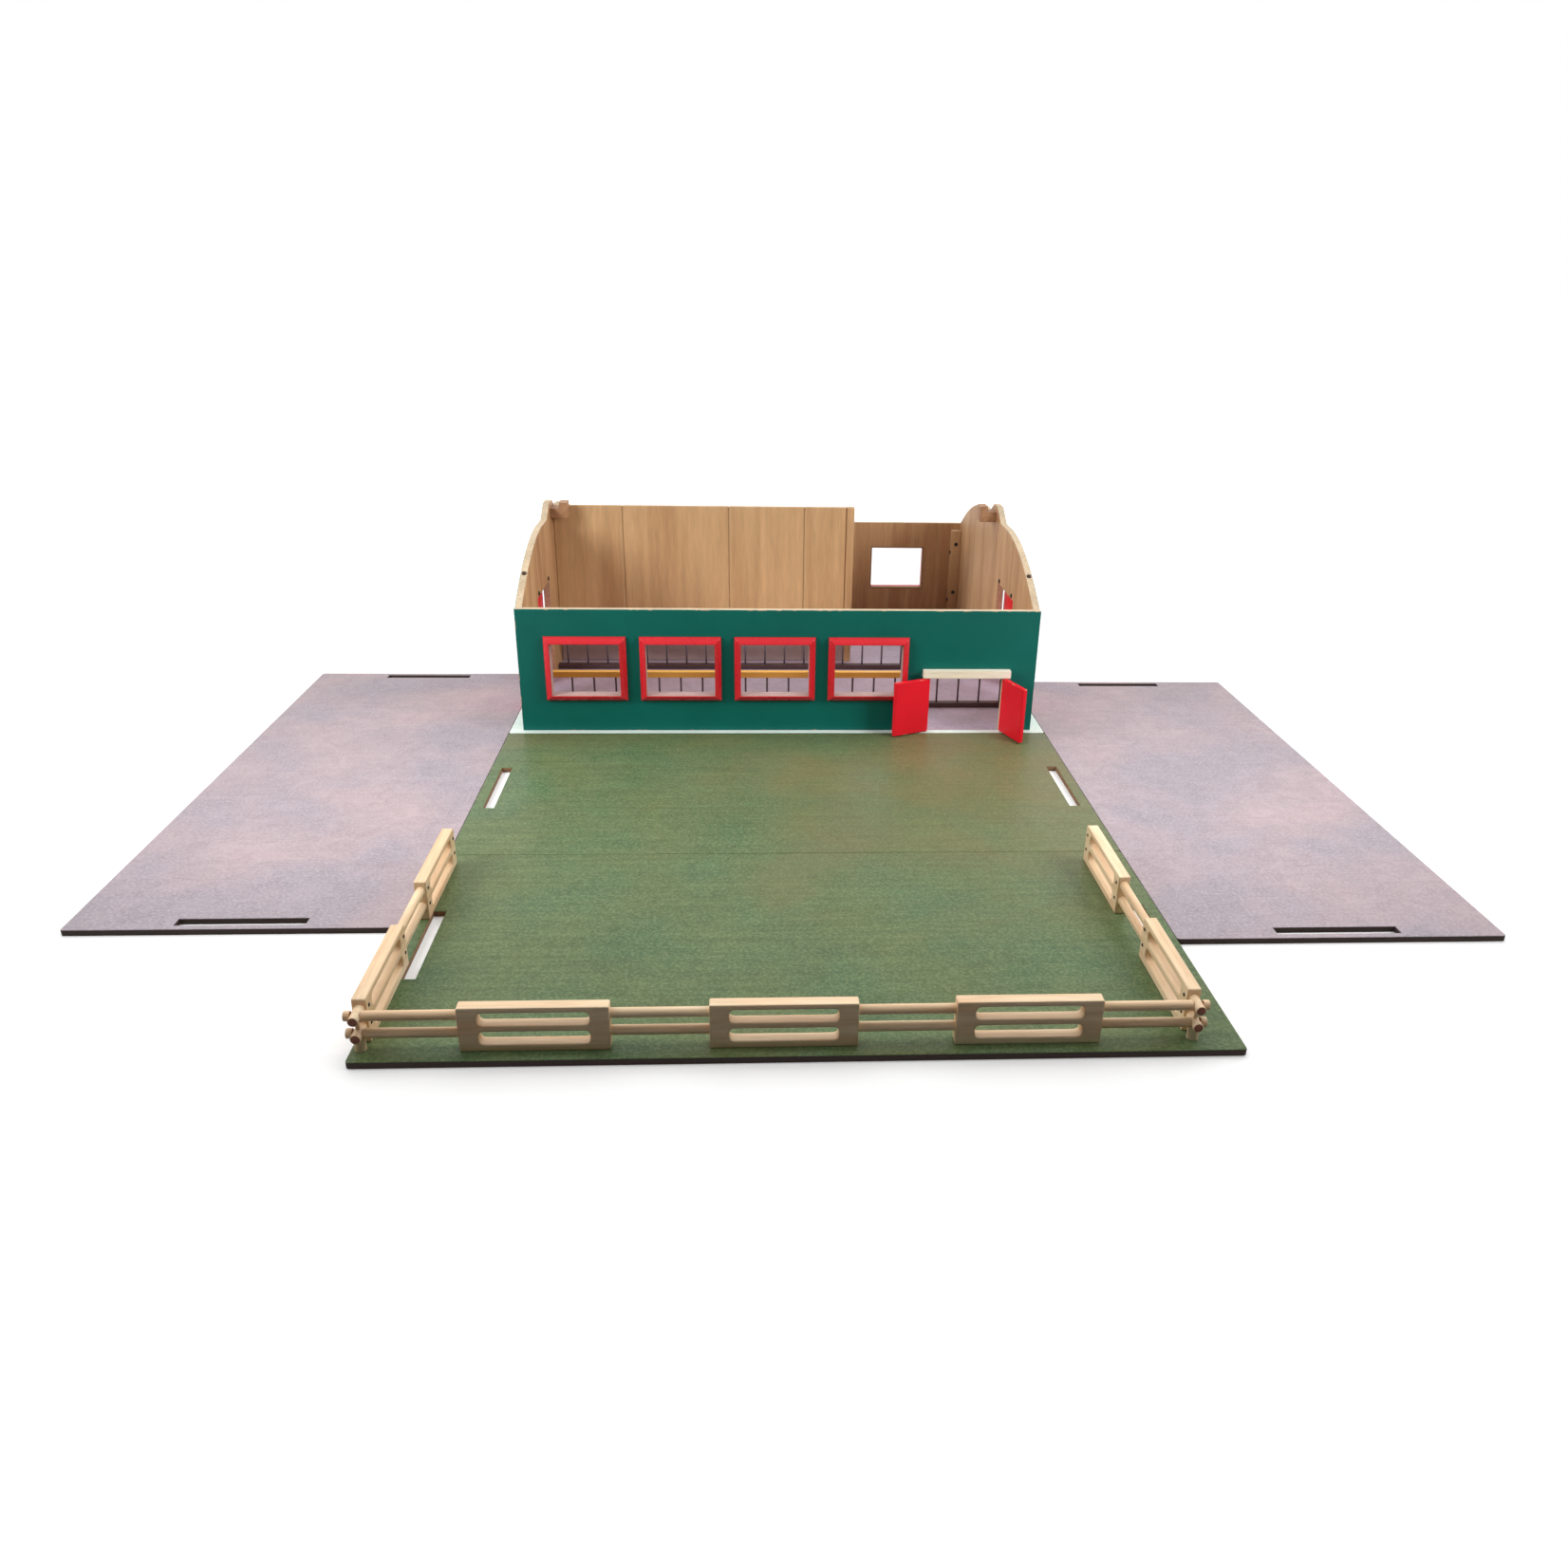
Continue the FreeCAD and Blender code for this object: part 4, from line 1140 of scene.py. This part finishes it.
# Studio
# A plain white floor, two soft lamps above the pastures, light from above and behind as from a white
# backdrop, and the camera of the photograph.
white = (1, 1, 1, 1)
floor_reach = 60.0
floor_seen = 0.92
floor_bounce = 0.12
floor_roughness = 0.9
floor_shine = 0.0
glow_reach = (0.8, 2.2)
glow_levels = (0.12, 0.95)
sky_tilt = (0.0, 0.75, 0.66)
sky_span = (0.15, 1.0)
sky_levels = (0.03, 2.3)
sky_seen = 1.0
lamp_places = ((-0.95, -0.48, 0.65), (0.95, -0.48, 0.65))
lamp_powers = (2.6, 2.55)
lamp_aim = (0.0, 0.15, 0.1)
lamp_size = 0.5
lamp_spread = math.radians(90)
camera_place = Vector((-0.0449, -1.40479, 0.555))
camera_yaw = math.radians(3.30)
camera_pitch = math.radians(23.86)
camera_roll = math.radians(1.12)
camera_lens = 27.72
camera_shift = (-0.0157, 0.0106)


def seen_directly(tree):
    """1 for what the camera sees, in itself or in a shiny surface, and 0 for light that falls on things."""
    rays = add(tree, "ShaderNodeLightPath")
    seen = maths(tree, "MAXIMUM", rays["Is Camera Ray"], rays["Is Glossy Ray"])
    return maths(tree, "MAXIMUM", seen, rays["Is Transmission Ray"])


ground = bpy.data.meshes.new("studio_floor")
half = floor_reach / 2
ground.from_pydata([(x, y, 0) for x, y in rectangle(-half, half, -half, half)], [], [(0, 1, 2, 3)])
studio_floor = linked("studio_floor", ground)
studio_floor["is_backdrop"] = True
material, tree, shader, place = new_material("white studio floor")
seen = seen_directly(tree)
glow = ranged(tree, vector_maths(tree, "LENGTH", place), glow_reach, glow_levels)
pale, dim = [(grey, grey, grey, 1) for grey in (floor_seen, floor_bounce)]
wired(tree, shader, {
    "Base Color": mixed(tree, seen, dim, pale), "Roughness": floor_roughness,
    "Specular IOR Level": floor_shine, "Emission Color": white,
    "Emission Strength": maths(tree, "MULTIPLY", glow, seen)})
ground.materials.append(material)

world = bpy.data.worlds.new("backdrop light")
bpy.context.scene.world = world
world.use_nodes = True
tree = world.node_tree
way = add(tree, "ShaderNodeTexCoord")["Generated"]
level = ranged(tree, vector_maths(tree, "DOT_PRODUCT", way, sky_tilt), sky_span, sky_levels)
level = add(tree, "ShaderNodeMix", {0: seen_directly(tree), 2: level, 3: sky_seen}, data_type="FLOAT")[0]
wired(tree, tree.nodes["Background"].inputs, {"Color": white, "Strength": level})

for lamp_place, lamp_power in zip(lamp_places, lamp_powers):
    lamp = bpy.data.lights.new("soft_lamp", "AREA")
    lamp.shape = "DISK"
    lamp.size = lamp_size
    lamp.energy = lamp_power
    lamp.spread = lamp_spread
    holder = linked("soft_lamp", lamp)
    holder.location = lamp_place
    aim = Vector(lamp_aim) - holder.location
    holder.rotation_euler = aim.to_track_quat("-Z", "Y").to_euler()
    holder.visible_camera = False

run = math.cos(camera_pitch)
forward = Vector((run * math.sin(camera_yaw), run * math.cos(camera_yaw), -math.sin(camera_pitch)))
level = Vector((math.cos(camera_yaw), -math.sin(camera_yaw), 0))
upward = level.cross(forward)
right = level * math.cos(camera_roll) + upward * math.sin(camera_roll)
top = upward * math.cos(camera_roll) - level * math.sin(camera_roll)
camera = linked("photo_camera", bpy.data.cameras.new("photo_camera"))
camera.matrix_world = Matrix.Translation(camera_place) @ Matrix((right, top, -forward)).transposed().to_4x4()
camera.data.lens = camera_lens
camera.data.shift_x, camera.data.shift_y = camera_shift
bpy.context.scene.camera = camera
bpy.context.scene.view_settings.view_transform = "Standard"

low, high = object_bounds()
